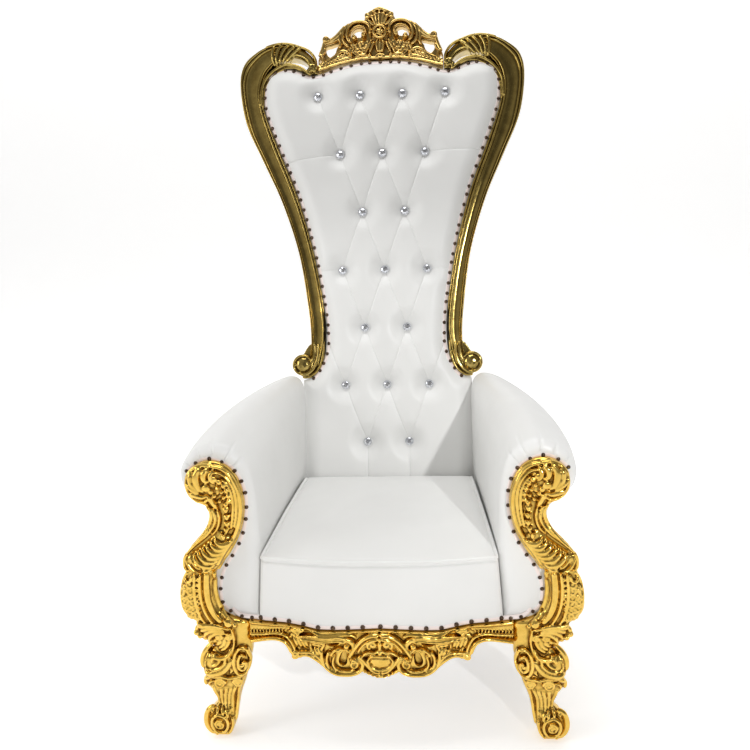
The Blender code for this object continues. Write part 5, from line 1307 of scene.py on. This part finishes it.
def fold_lines():
    """The leather's folds, each with its depth at both ends."""
    places = button_places()
    folds = []
    for a in places:
        for b in places:
            if abs(abs(a.x - b.x) - BUTTON_SPACING / 2) < 0.001 and abs(a.y - b.y - BUTTON_PITCH) < 0.001:
                folds.append((a, b, 1.0, 1.0))
    for side in (1, -1):
        for row, reach, rise in SIDE_FOLDS:
            up = BUTTON_TOP - row * BUTTON_PITCH
            start = Vector((side * BUTTON_SPACING, up))
            end = Vector((side * (BUTTON_SPACING + reach), up + rise - (0.02 if side < 0 and row == 1 else 0.0)))
            folds.append((start, end, 1.0, 0.8))
        last = Vector((side * BUTTON_SPACING / 2, BUTTON_TOP - 6 * BUTTON_PITCH))
        folds.append((last, Vector((last.x, PAD_BOTTOM)), 1.0, 0.9))
    return folds


def segment_distance(p, a, b):
    """How far a flat point is from a segment, and the share along it of the nearest place."""
    along = b - a
    share = max(0.0, min(1.0, (p - a).dot(along) / along.length_squared))
    return (p - a - along * share).length, share


def leather_outline():
    """The outline of the back's leather: its right half from the bottom to the middle of the top."""
    edge = [Vector((p[0] / 100, p[1] / 100)) for p in curve_through(LEATHER_EDGE, 1.0)]
    bottom = even_path([Vector((PAD_HALF, PAD_BOTTOM)), Vector((PAD_HALF, edge[0].y))], 0.02)
    return [*bottom[:-1], Vector((PAD_HALF, edge[0].y)), *edge[1:]]


def inset(path, amount, closed=True):
    """The path moved to its left."""
    moved = []
    for i, p in enumerate(path):
        a = path[i - 1] if closed or i else path[i]
        b = path[(i + 1) % len(path)] if closed or i < len(path) - 1 else path[i]
        along = (b - a).normalized()
        moved.append(p + Vector((-along.y, along.x)) * amount)
    return moved


def ease(distance, full):
    """Rises from nothing to one over a distance, steeply first."""
    return math.sin(math.pi / 2 * min(1.0, max(0.0, distance) / full))


def back_height(p, edge_tree, folds, buttons):
    """How far the leather of the back stands in front of the back's plane."""
    to_edge = (edge_tree.find_nearest((p.x, p.y, 0))[0].xy - p).length
    height = PAD_RISE * ease(to_edge, PAD_ROLL)
    near = min((p - q).length for q in buttons)
    fold = 1.0
    crease = 0.0
    for a, b, start, end in folds:
        distance, share = segment_distance(p, a, b)
        if distance < FOLD_REACH:
            depth = start + (end - start) * share
            middle = 1 - 0.45 * math.sin(math.pi * share)
            fold = min(fold, 1 - 0.2 * depth * middle * (1 - ease(distance, FOLD_REACH)))
            crease = max(crease, depth * middle * math.exp(-((distance / CREASE_WIDTH) ** 2)))
    dimple = ease(near - BUTTON_HOLLOW, 0.05)
    height *= fold * dimple
    height -= CREASE_DEPTH * crease * ease(near - BUTTON_HOLLOW, 0.02)
    height += 0.0012 * noise.noise(Vector((p.x * 9, p.y * 9, 3.1))) * dimple
    return max(0.0003, height)


def scatter_points(outline, folds, buttons):
    """Points for the tufted surface: an even grid, denser along the folds and round the buttons."""
    step = 0.0075
    row_step = step * 0.866
    low, high = min(p.y for p in outline), max(p.y for p in outline)
    kept = []
    for j in range(1, int((high - low) / row_step)):
        for i in range(-48, 49):
            p = Vector(((i + 0.5 * (j % 2)) * step, low + j * step * 0.866))
            if all(segment_distance(p, a, b)[0] > 0.0055 for a, b, *_ in folds):
                if all((p - q).length > 0.014 for q in buttons):
                    kept.append(p)
    for a, b, *_ in folds:
        side = Vector((-(b - a).y, (b - a).x)).normalized()
        for p in even_path([a, b], 0.005)[2:]:
            kept += [p + side * shift for shift in (-0.0045, -0.0026, -0.0012, 0.0, 0.0012, 0.0026, 0.0045)]
    for q in buttons:
        for radius in (0.0, 0.006, 0.0105, BUTTON_HOLLOW):
            kept += [q + Vector(turn) * radius for turn in circle(BUTTON_SIDES)[: None if radius else 1]]
    return kept


def build_back_pad():
    """The tufted front of the back, with its sides, as one closed shape."""
    outline = with_mirror_image(leather_outline())
    folds, buttons = fold_lines(), button_places()
    rim = [(i, (i + 1) % len(outline)) for i in range(len(outline))]
    points = [
        *outline, *inset(outline, 0.003), *inset(outline, 0.006), *scatter_points(outline, folds, buttons),
    ]
    coords, _, faces, *_ = delaunay_2d_cdt(points, rim, [], 1, 1e-5)
    ring = bmesh.new()
    made = [ring.verts.new((p.x, p.y, 0)) for p in outline]
    for a, b in zip(made, made[1:] + made[:1]):
        ring.faces.new((a, b, ring.verts.new((a.co + b.co) / 2 + Vector((0, 0, 1e-5)))))
    edge_tree = BVHTree.FromBMesh(ring)
    ring.free()
    bm = bmesh.new()
    front = [bm.verts.new((p.x, -back_height(p, edge_tree, folds, buttons), p.y)) for p in coords]
    for face in faces:
        if len(set(face)) == 3:
            bm.faces.new([front[i] for i in face])
    for v in extruded(bm, list(bm.faces)):
        v.co.y = FRAME_DEPTH - 0.001
        if v.co.z < 0.30 and abs(v.co.x) > SEAT_CORNERS[1]:
            v.co.x = math.copysign(SEAT_CORNERS[1], v.co.x)
    mesh = finish_mesh(bm, "back_cushion")
    mesh.transform(BACK_PLACE)
    smooth(mesh, 60)
    give(link("back_cushion", mesh), LEATHER, ["back_pad"])


def build_back_shell():
    """The outside of the back: leather over a frame, with a welt near its edge."""
    outer = [Vector((p[0] / 100, p[1] / 100)) for p in curve_through(STILE_OUTER[:11], 1.0)]
    lower = even_path([Vector((SHELL_HALF, PAD_BOTTOM)), Vector((SHELL_HALF, outer[0].y))], 0.02)
    line = [
        (30.4, 126.6), (28.6, 123.6), (26.4, 121.7), (22.0, 120.0), (17.4, 119.4), (12.0, 121.2),
        (6.0, 122.2),
    ]
    top = curve_through([outer[-1], *[(a / 100, b / 100) for a, b in line], (0, 1.225)], 0.02)
    outline = with_mirror_image([*lower[:-1], *outer, *top[1:]])
    bm = bmesh.new()
    rings = []
    for share, amount in SHELL_LAYERS:
        rings.append([Vector((p.x, SHELL_FRONT + share * SHELL_DEPTH, p.y)) for p in inset(outline, amount)])
    made = add_loft(bm, list(reversed(rings)))
    cap = [f for f in bm.faces if len(f.verts) > 8 and f.calc_center_median().y > FRAME_DEPTH + 0.03]
    bmesh.ops.delete(bm, geom=cap, context="FACES_ONLY")
    path = [Vector((v.co.x, v.co.z)) for v in made[0]]
    low, high = min(p.y for p in path), max(p.y for p in path)
    grid = []
    for j in range(1, int((high - low) / 0.02)):
        grid += [Vector((i * 0.02 + 0.01 * (j % 2), low + j * 0.02)) for i in range(-22, 23)]
    rim = [(i, (i + 1) % len(path)) for i in range(len(path))]
    coords, _, faces, *_ = delaunay_2d_cdt([*path, *grid], rim, [], 1, 1e-5)
    rear = SHELL_FRONT + SHELL_LAYERS[-1][0] * SHELL_DEPTH
    verts = []
    for i, p in enumerate(coords):
        if i < len(path):
            verts.append(made[0][i])
        else:
            near = min((p - q).length for q in path[::3])
            out = 0.0012 * ease(near, 0.05)
            wave = 0.0008 * noise.noise(Vector((p.x * 7, p.y * 7, 0)))
            verts.append(bm.verts.new((p.x, rear + out + wave, p.y)))
    for face in faces:
        bm.faces.new([verts[i] for i in face])
    mesh = finish_mesh(bm, "back_cover")
    mesh.transform(BACK_PLACE)
    smooth(mesh, 50)
    give(link("back_cover", mesh), LEATHER, ["back_shell"])
    welt = [Vector((p.x, rear - 0.002, p.y)) for p in inset(outline, 0.0135)]
    add_tube("back_welt", [*welt, welt[0]], 0.0026, LEATHER, BACK_PLACE, closed=True)


def add_tube(name, points, radius, material, place=None, closed=False):
    """A thin round cord of leather along a path."""
    if closed:
        points = points[:-1]
    bm = bmesh.new()
    rings = []
    normal = None
    for i, p in enumerate(points):
        a = points[i - 1] if closed or i else points[0]
        b = points[(i + 1) % len(points)] if closed or i < len(points) - 1 else points[-1]
        along = (b - a).normalized()
        if normal is None:
            normal = along.orthogonal().normalized()
        normal = (normal - along * normal.dot(along)).normalized()
        other = along.cross(normal)
        rings.append([p + (normal * c + other * s) * radius for c, s in circle(CORD_SIDES)])
    add_loft(bm, rings, closed=closed)
    mesh = finish_mesh(bm, name)
    if place:
        mesh.transform(place)
    smooth(mesh, 60)
    return give(link(name, mesh), material)


def build_buttons():
    """Cut crystals: a table, two rows of facets and a girdle."""
    shape = bmesh.new()
    rings = []
    levels = ((0.0, 0.0112), (0.0022, 0.0122), (0.0046, 0.0122), (0.0074, 0.0092), (0.0092, 0.0052))
    for k, (forward, radius) in enumerate(levels):
        turns = circle(FACETS, math.pi / FACETS * (k % 2))
        rings.append([Vector((radius * c, -forward, radius * s)) for c, s in turns])
    made = [[shape.verts.new(p) for p in ring] for ring in rings]
    for k, (low, high) in enumerate(zip(made, made[1:])):
        for i in range(FACETS):
            j = (i + 1) % FACETS
            if k % 2:
                shape.faces.new((low[i], low[j], high[j]))
                shape.faces.new((low[i], high[j], high[i]))
            else:
                shape.faces.new((low[i], low[j], high[i]))
                shape.faces.new((low[j], high[j], high[i]))
    shape.faces.new(made[0])
    shape.faces.new(made[-1])
    mesh = finish_mesh(shape, "crystal")
    for i, p in enumerate(button_places()):
        own = mesh.copy()
        own.transform(Matrix.Rotation(0.37 * i, 4, "Y"))
        own.transform(BACK_PLACE @ Matrix.Translation((p.x, -0.0006, p.y)))
        give(link(f"crystal_{i + 1:02d}", own), CRYSTAL, [f"button_{i + 1:02d}"])


# Seat and arms

SEAT_CORNERS = (0.281, 0.2375)
SEAT_FRONT = 0.0135
SEAT_DEPTH = 0.490
SEAT_GRID = (64, 56, 88)
PIPING_EDGE = 0.985
PIPING_RADIUS = 0.0048


def seat_half(share):
    """Half the seat's width, at a share of its depth."""
    return SEAT_CORNERS[0] + (SEAT_CORNERS[1] - SEAT_CORNERS[0]) * share


def seat_point(u, v, w):
    """A point of the seat: u across and v deep from -1 to 1, w up from 0 to 1."""
    deep = (v + 1) / 2
    half = seat_half(deep) + 0.012 * (1 - deep) * (1 - w)
    crown = 0.009 + 0.016 * (1 - u**4) * (1 - v**4) + 0.014 * ease(deep, 0.9)
    low = apron_top(u * half) + 0.0015
    z = low + (SEAT_HEIGHT + crown - low) * w
    rear = SEAT_DEPTH + (z - SEAT_HEIGHT) * math.tan(BACK_LEAN)
    bow = (APRON_BOW * (1 - u * u) + 0.010 * (1 - w) ** 1.5) * (1 - deep)
    return Vector((u * half, SEAT_FRONT + deep * (rear - SEAT_FRONT) - bow, z))


def round_off(a, b, c, rounding):
    """Moves a point of the unit cube's surface in, where it is near an edge, so that edges are round."""
    p = Vector((a, b, c))
    core = Vector([max(-1 + r, min(1 - r, x)) for x, r in zip(p, rounding)])
    out = Vector([(x - q) / r for x, q, r in zip(p, core, rounding)])
    if out.length > 1:
        out.normalize()
    return core + Vector([o * r for o, r in zip(out, rounding)])


def cube_shell(bm, place, counts):
    """The surface of a cube, -1 to 1, as a grid of quads, each corner put in place by a function."""
    made = {}

    def corner(p):
        key = tuple(round(x, 6) for x in p)
        if key not in made:
            made[key] = bm.verts.new(place(*p))
        return made[key]

    for axis in range(3):
        first, second = (axis + 1) % 3, (axis + 2) % 3
        for level in (-1, 1):
            for i in range(counts[first]):
                for j in range(counts[second]):
                    loop = []
                    for di, dj in ((0, 0), (1, 0), (1, 1), (0, 1)):
                        p = [0.0, 0.0, 0.0]
                        p[axis] = float(level)
                        p[first] = 2 * (i + di) / counts[first] - 1
                        p[second] = 2 * (j + dj) / counts[second] - 1
                        loop.append(corner(p))
                    if level < 0:
                        loop.reverse()
                    bm.faces.new(loop)


def build_seat():
    """The seat: a crowned block with a full front, a groove under its piping, and faint waves on top."""

    def place(a, b, c):
        u, v, w = round_off(a, b, c, (0.03, 0.04, 0.1 if c > 0 else 0.03))
        p = seat_point(u, v, (w + 1) / 2)
        face = (1 - u**4) * ease(1 - w, 1.4) * ease(w + 1, 0.9)
        if v < -0.9:
            p.y -= 0.004 * face - 0.0045 * math.exp(-(((w - 0.885) / 0.03) ** 2))
        p.z += 0.0015 * noise.noise(p * 7.0) * (w > 0.9)
        return p

    bm = bmesh.new()
    cube_shell(bm, place, SEAT_GRID)
    mesh = finish_mesh(bm, "seat_cushion")
    mesh.transform(FRONT_PLACE)
    smooth(mesh)
    seat = give(link("seat_cushion", mesh), LEATHER, ["seat"])
    tree = surface_tree(mesh)
    edge = PIPING_EDGE
    front = [((-1 + i / 30) * edge, -edge, edge) for i in range(1, 60)]
    side = [(edge, -edge + 1.9 * i / 30, edge) for i in range(31)]
    path = [*[(-a, b, c) for a, b, c in reversed(side)], *front, *side]
    points = []
    for u, v, w in path:
        p = FRONT_PLACE @ seat_point(u, v, (w + 1) / 2)
        hit, normal, *_ = tree.find_nearest(p)
        points.append(hit + normal * 0.0022)
    add_tube("seat_piping", points, PIPING_RADIUS, LEATHER)
    return seat


ARM_FRONT_SECTION = (
    (1.0, 0.0), (0.7, 6.4), (0.1, 13.4), (-0.1, 20.4), (0.0, 27.4), (0.3, 32.6), (1.4, 37.6), (3.9, 41.4),
    (7.7, 43.5), (11.3, 43.0), (14.8, 40.9), (17.0, 37.2), (16.8, 33.2), (14.9, 30.3), (12.4, 28.6), (11.0,
     26.4),
    (11.1, 22.4), (12.2, 17.4), (13.7, 11.4), (14.7, 5.4), (14.7, 0.0),
)
ARM_MIDDLE_SECTION = (
    (0.8, 0.0), (0.6, 6.4), (0.3, 13.4), (0.1, 20.4), (0.1, 27.4), (0.4, 34.0), (1.3, 39.8), (3.6, 44.1),
    (7.4, 45.8), (11.8, 44.6), (16.0, 41.7), (19.1, 37.6), (20.2, 33.8), (19.3, 30.7), (16.6, 28.6), (14.3,
     26.4),
    (14.1, 22.4), (14.7, 17.4), (15.7, 11.4), (16.3, 5.4), (16.3, 0.0),
)
ARM_REAR_SECTION = (
    (0.0, 0.0), (0.0, 6.4), (0.0, 13.4), (0.0, 20.4), (0.0, 27.4), (0.0, 33.8), (0.1, 39.5), (1.1, 43.3),
    (3.5, 44.8), (7.3, 43.9), (11.3, 41.3), (14.7, 37.9), (16.5, 34.3), (16.5, 31.0), (15.3, 28.6), (14.3,
     26.4),
    (14.1, 22.4), (14.3, 17.4), (14.7, 11.4), (14.9, 5.4), (14.9, 0.0),
)
ARM_REAR_Y = 0.585
ARM_STEPS = 360
ARM_STATIONS = 64
ARM_ROUNDING = 0.022
ARM_REAR_ROUNDING = 0.008
# pleats: the step round the section, and how far back it runs
PLEATS = ((146, 0.05), (158, 0.075), (176, 0.05), (190, 0.045), (205, 0.06))
PLEAT_DEPTH = 0.0032
PLEAT_WIDTH = 1.2


def arm_section(share):
    """The arm's outline at one place along it, in metres, from its inner foot over the roll to its outer foot."""
    weights = ((1 - share) * (1 - 2 * share), 4 * share * (1 - share), share * (2 * share - 1))
    points = []
    for drawn in zip(ARM_FRONT_SECTION, ARM_MIDDLE_SECTION, ARM_REAR_SECTION):
        across, up = sum((Vector(p) * w for p, w in zip(drawn, weights)), Vector((0, 0)))
        points.append(Vector((seat_half(share) + 0.0022 + across / 100, FRAME_TOP + up / 100)))
    path = curve_through(points, 0.004)
    length = sum((b - a).length for a, b in zip(path, path[1:]))
    return even_path(path, length / ARM_STEPS)


def build_arms():
    """The rolled arms: sections along a path, rounded at the front, with pleats over the scroll."""
    length = ARM_REAR_Y - ARM_FRONT_Y
    bm = bmesh.new()
    rings = []
    shares = [0.0, 0.0006, 0.002, 0.0045, 0.008, 0.0125, 0.018, 0.025, 0.033, 0.041]
    shares += [*[0.05 + 0.93 * i / ARM_STATIONS for i in range(ARM_STATIONS + 1)], 0.99, 1.0]
    for share in shares:
        from_front = share * length
        from_rear = (1 - share) * length
        round_front = max(0.0, ARM_ROUNDING - from_front) / ARM_ROUNDING
        inset_front = ARM_ROUNDING * (1 - math.sqrt(1 - round_front**2))
        over = max(0.0, ARM_REAR_ROUNDING - from_rear)
        inset_rear = ARM_REAR_ROUNDING - math.sqrt(max(0.0, ARM_REAR_ROUNDING**2 - over**2))
        section = arm_section(share)
        inward = inset(section, -1.0, closed=False)
        ring = []
        for i, (p, q) in enumerate(zip(section, inward)):
            # the inner side turns into the front more gently than the outer one
            wide = (1 + 0.45 * ease(172 - i, 40)) * ease(min(i, ARM_STEPS - i), 16)
            drop = 0.0
            for at, reach in PLEATS:
                if from_front < reach:
                    drop += PLEAT_DEPTH * math.exp(-(((i - at) / PLEAT_WIDTH) ** 2)) * (1 - from_front / reach)
            p = p + (q - p) * (inset_front * wide + inset_rear + drop * math.sqrt(1 - round_front**2))
            y = ARM_FRONT_Y + from_front + drop * round_front
            ring.append(Vector((p.x, y, max(FRAME_TOP, p.y))))
        rings.append(ring)
    add_loft(bm, rings)
    mesh = finish_mesh(bm, "arm_cushion_right")
    mesh.transform(FRONT_PLACE)
    smooth(mesh, 50)
    right = give(link("arm_cushion_right", mesh), LEATHER, ["arm_right"])
    mirrored(right, "arm_cushion_left", "arm_left", LEATHER)
    return right


# Nails and the strip under them

ARM_NAIL = 0.0048


def add_nails(name, places, radius):
    """Domed nail heads, each given by its centre and the direction that it faces."""
    levels = ((-0.0005, 1.0), (0.0008, 1.0), (0.0024, 0.86), (0.0036, 0.55))
    crown = 0.0041
    bm = bmesh.new()
    for centre, normal in places:
        turn = normal.to_track_quat("Z", "Y").to_matrix().to_4x4()
        rings = []
        for height, width in levels:
            wide = radius * width
            ring = [centre + turn @ Vector((wide * c, wide * s, height)) for c, s in circle(NAIL_SIDES)]
            rings.append([bm.verts.new(p) for p in ring])
        for low, high in zip(rings, rings[1:]):
            for i in range(NAIL_SIDES):
                j = (i + 1) % NAIL_SIDES
                bm.faces.new((low[i], low[j], high[j], high[i]))
        bm.faces.new(list(reversed(rings[0])))
        top = bm.verts.new(centre + turn @ Vector((0, 0, crown)))
        for i in range(NAIL_SIDES):
            bm.faces.new((rings[-1][i], rings[-1][(i + 1) % NAIL_SIDES], top))
    mesh = finish_mesh(bm, name)
    smooth(mesh, 55)
    return give(link(name, mesh), NAIL)


def add_strip(name, points, normals, width):
    """A flat strip of edging along a path on a surface."""
    thickness = 0.0012
    profile = ((-0.5, -0.5), (-0.5, 0.5), (-0.35, 0.9), (0.35, 0.9), (0.5, 0.5), (0.5, -0.5))
    bm = bmesh.new()
    rings = []
    for i, (p, n) in enumerate(zip(points, normals)):
        along = (points[min(i + 1, len(points) - 1)] - points[max(i - 1, 0)]).normalized()
        side = along.cross(n).normalized()
        rings.append([p + side * a * width + n * b * thickness for a, b in profile])
    add_loft(bm, rings)
    mesh = finish_mesh(bm, name)
    smooth(mesh, 40)
    return give(link(name, mesh), EDGING)


def trim_on(name, target, path, spacing, radius, width, toward=None):
    """Lays a strip and a row of nails on a surface, along a path near it or seen from it in one direction."""
    tree = surface_tree(target.data)
    points, normals = [], []
    for p in even_path(path, 0.006):
        hit, normal, *_ = tree.ray_cast(p - toward * 0.08, toward) if toward else tree.find_nearest(p)
        if hit is None:
            continue
        points.append(hit)
        normals.append(normal)
    soft = []
    for i in range(len(normals)):
        around = normals[max(0, i - 2) : i + 3]
        soft.append(sum(around, Vector()).normalized())
    add_strip("edging_" + name, [p + n * 0.0004 for p, n in zip(points, soft)], soft, width)
    places = []
    for p in even_path(points, spacing):
        k = min(range(len(points)), key=lambda i: (points[i] - p).length)
        places.append((points[k] + soft[k] * 0.0013, soft[k]))
    add_nails("nails_" + name, places, radius)


def build_back_trim():
    """Nails along the back's leather, from the volutes upward."""
    path = with_mirror_image([p for p in leather_outline() if p.y > 0.325])
    path = [BACK_PLACE @ Vector((p.x, -0.006, p.y)) for p in inset(path, 0.0065, closed=False)]
    trim_on("back", bpy.data.objects["back_cushion"], path, 0.0285, 0.0054, 0.0095)


def build_arm_trim(arm):
    """Nails beside the gold of the arm front, from the seat frame up and over the scroll."""
    line = [
        (4.6, 33.9), (5.7, 35.0), (6.5, 36.6), (6.6, 40.0), (6.0, 43.0), (4.7, 46.0), (2.7, 49.0),
        (0.9, 52.2),
    ]
    line += [(-0.5, 56.0), (-1.2, 60.5), (-1.2, 64.5), (-0.3, 67.9), (1.5, 70.7), (4.7, 72.5), (7.3, 72.9)]
    line += [(9.9, 71.8), (12.1, 69.9)]
    path = [Vector((POST_X + p[0] / 100, FRONT_Y + ARM_FRONT_Y, p[1] / 100)) for p in curve_through(line, 0.6)]
    trim_on("arm_right", arm, path, 0.0335, ARM_NAIL, 0.0075, toward=Vector((0, 1, 0)))
    # the welt that closes the joint between the arm's foot and the frame
    y = FRONT_Y + ARM_FRONT_Y - 0.005
    sink = 0.009
    line = curve_through([(28.6, 32.3), (30.0, 32.5), (32.0, 32.7), (33.6, 33.0), (34.8, 33.6), (35.6, 34.5)], 0.3)
    points = [Vector((p[0] / 100, y + sink * max(0, p[0] - 33) ** 2 / 7, p[1] / 100)) for p in line]
    add_tube("welt_arm_right", points, 0.0055, EDGING)
    places = [(Vector((x, y - 0.0053, z)), Vector((0, -1, 0))) for x, z in ((0.3085, 0.3262), (0.3325, 0.3298))]
    add_nails("nails_foot_right", places, ARM_NAIL)
    for kind in ("edging_arm", "welt_arm", "nails_arm", "nails_foot"):
        source = bpy.data.objects[f"{kind}_right"]
        slot, material = ("gilt", NAIL) if kind.startswith("nails") else ("white_leather", EDGING)
        mirrored(source, f"{kind}_left", None, material)


def build_seat_trim(seat):
    """Nails along the foot of the seat's front."""
    path = []
    for i in range(81):
        x = 0.298 * (i / 40 - 1)
        y = FRONT_Y + SEAT_FRONT - APRON_BOW * (1 - (x / 0.293) ** 2) - 0.006
        path.append(Vector((x, y, apron_top(x) + 0.0072)))
    trim_on("seat", seat, path, 0.037, 0.0058, 0.009, toward=Vector((0, 1, 0)))


# Plain parts


def dress_plain_parts():
    """The rails, the rear legs and the board under the seat show as packed, with materials of their own."""
    gilt = ("side_rail_right", "rear_leg_right", "side_rail_left", "rear_leg_left", "rear_rail")
    for node in (*gilt, "seat_frame"):
        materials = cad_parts[node].data.materials
        materials.clear()
        materials.append(CLOTH if node == "seat_frame" else GILT_BASE)


# Stage


def build_stage():
    """A white cyclorama, a dim room round it, soft boxes, and the lamp whose shadow edge crosses the seat."""
    bm = bmesh.new()
    profile = [(-14.0, 0.0), (4.0, 0.0)]
    profile += [(4.0 + 3 * math.sin(math.radians(a)), 3 - 3 * math.cos(math.radians(a))) for a in range(10, 91, 10)]
    profile += [(7.0, 14.0)]
    rows = [[bm.verts.new((x, y, z - 0.0003)) for x in (-16.0, 16.0)] for y, z in profile]
    for low, high in zip(rows, rows[1:]):
        bm.faces.new((low[0], low[1], high[1], high[0]))
    mesh = bpy.data.meshes.new("backdrop")
    bm.to_mesh(mesh)
    bm.free()
    mesh.shade_smooth()
    backdrop = link("backdrop", mesh)
    material, _, shader, _ = new_material("pale_paper")
    set_values(shader, Base_Color=(0.93, 0.93, 0.93, 1), Roughness=0.8, Specular_IOR_Level=0.1)
    set_values(shader, Emission_Color=(1, 1, 1, 1), Emission_Strength=0.5)
    backdrop.data.materials.append(material)

    world = bpy.data.worlds.new("studio")
    bpy.context.scene.world = world
    world.use_nodes = True
    tree = world.node_tree
    background = tree.nodes["Background"]
    direction = add_node(tree, "ShaderNodeTexCoord").outputs["Generated"]
    split = add_node(tree, "ShaderNodeSeparateXYZ")
    tree.links.new(direction, split.inputs[0])
    height = add_ramp(
        tree, split.outputs["Z"], ((0.0, 0.36), (0.12, (0.33, 0.32, 0.3)), (0.3, (0.24, 0.23, 0.215)), (0.9, 0.3))
    )
    shift = tree.nodes.new("ShaderNodeMath")
    shift.operation = "MULTIPLY_ADD"
    tree.links.new(split.outputs["X"], shift.inputs[0])
    shift.inputs[1].default_value = shift.inputs[2].default_value = 0.5
    sides = add_ramp(tree, shift.outputs[0], ((0.3, 1.5), (0.42, 1.35), (0.5, 0.6), (0.62, 0.38), (0.8, 0.9)))
    colour = add_mix(tree, 1.0, height, sides, "MULTIPLY")
    tree.links.new(colour, background.inputs["Color"])
    background.inputs["Strength"].default_value = 1.0

    def add_box(name, energy, location, target, size):
        data = bpy.data.lights.new(name, "AREA")
        data.energy = energy
        data.shape = "RECTANGLE"
        data.size, data.size_y = size
        light = bpy.data.objects.new(name, data)
        bpy.context.scene.collection.objects.link(light)
        light.location = location
        light.rotation_euler = (Vector(target) - Vector(location)).to_track_quat("-Z", "Y").to_euler()

    add_box("fill", 24, (-3.2, -1.6, 1.8), (0, 0, 0.8), (1.0, 1.6))
    add_box("top", 54, (0.1, -0.2, 4.2), (0, 0.1, 1.0), (2.2, 1.4))
    add_box("edge", 10, (-3.0, 0.6, 1.6), (0, 0, 1.0), (0.5, 2.0))
    beam = bpy.data.lights.new("beam", "SPOT")
    beam.energy = 205
    beam.spot_size = math.radians(27)
    beam.spot_blend = 1.0
    beam.shadow_soft_size = 0.05
    key = bpy.data.objects.new("beam", beam)
    bpy.context.scene.collection.objects.link(key)
    key.location = (1.45, -3.2, 2.0)
    key.rotation_euler = (Vector((0, 0, 0.55)) - key.location).to_track_quat("-Z", "Y").to_euler()
    bpy.context.scene.view_settings.view_transform = "Standard"
    bpy.context.scene.view_settings.look = "None"


build_stiles()
build_crest()
build_arm_fronts()
build_legs()
build_apron()
build_back_pad()
build_back_shell()
build_buttons()
seat = build_seat()
arm = build_arms()
build_back_trim()
build_arm_trim(arm)
build_seat_trim(seat)
dress_plain_parts()
build_stage()
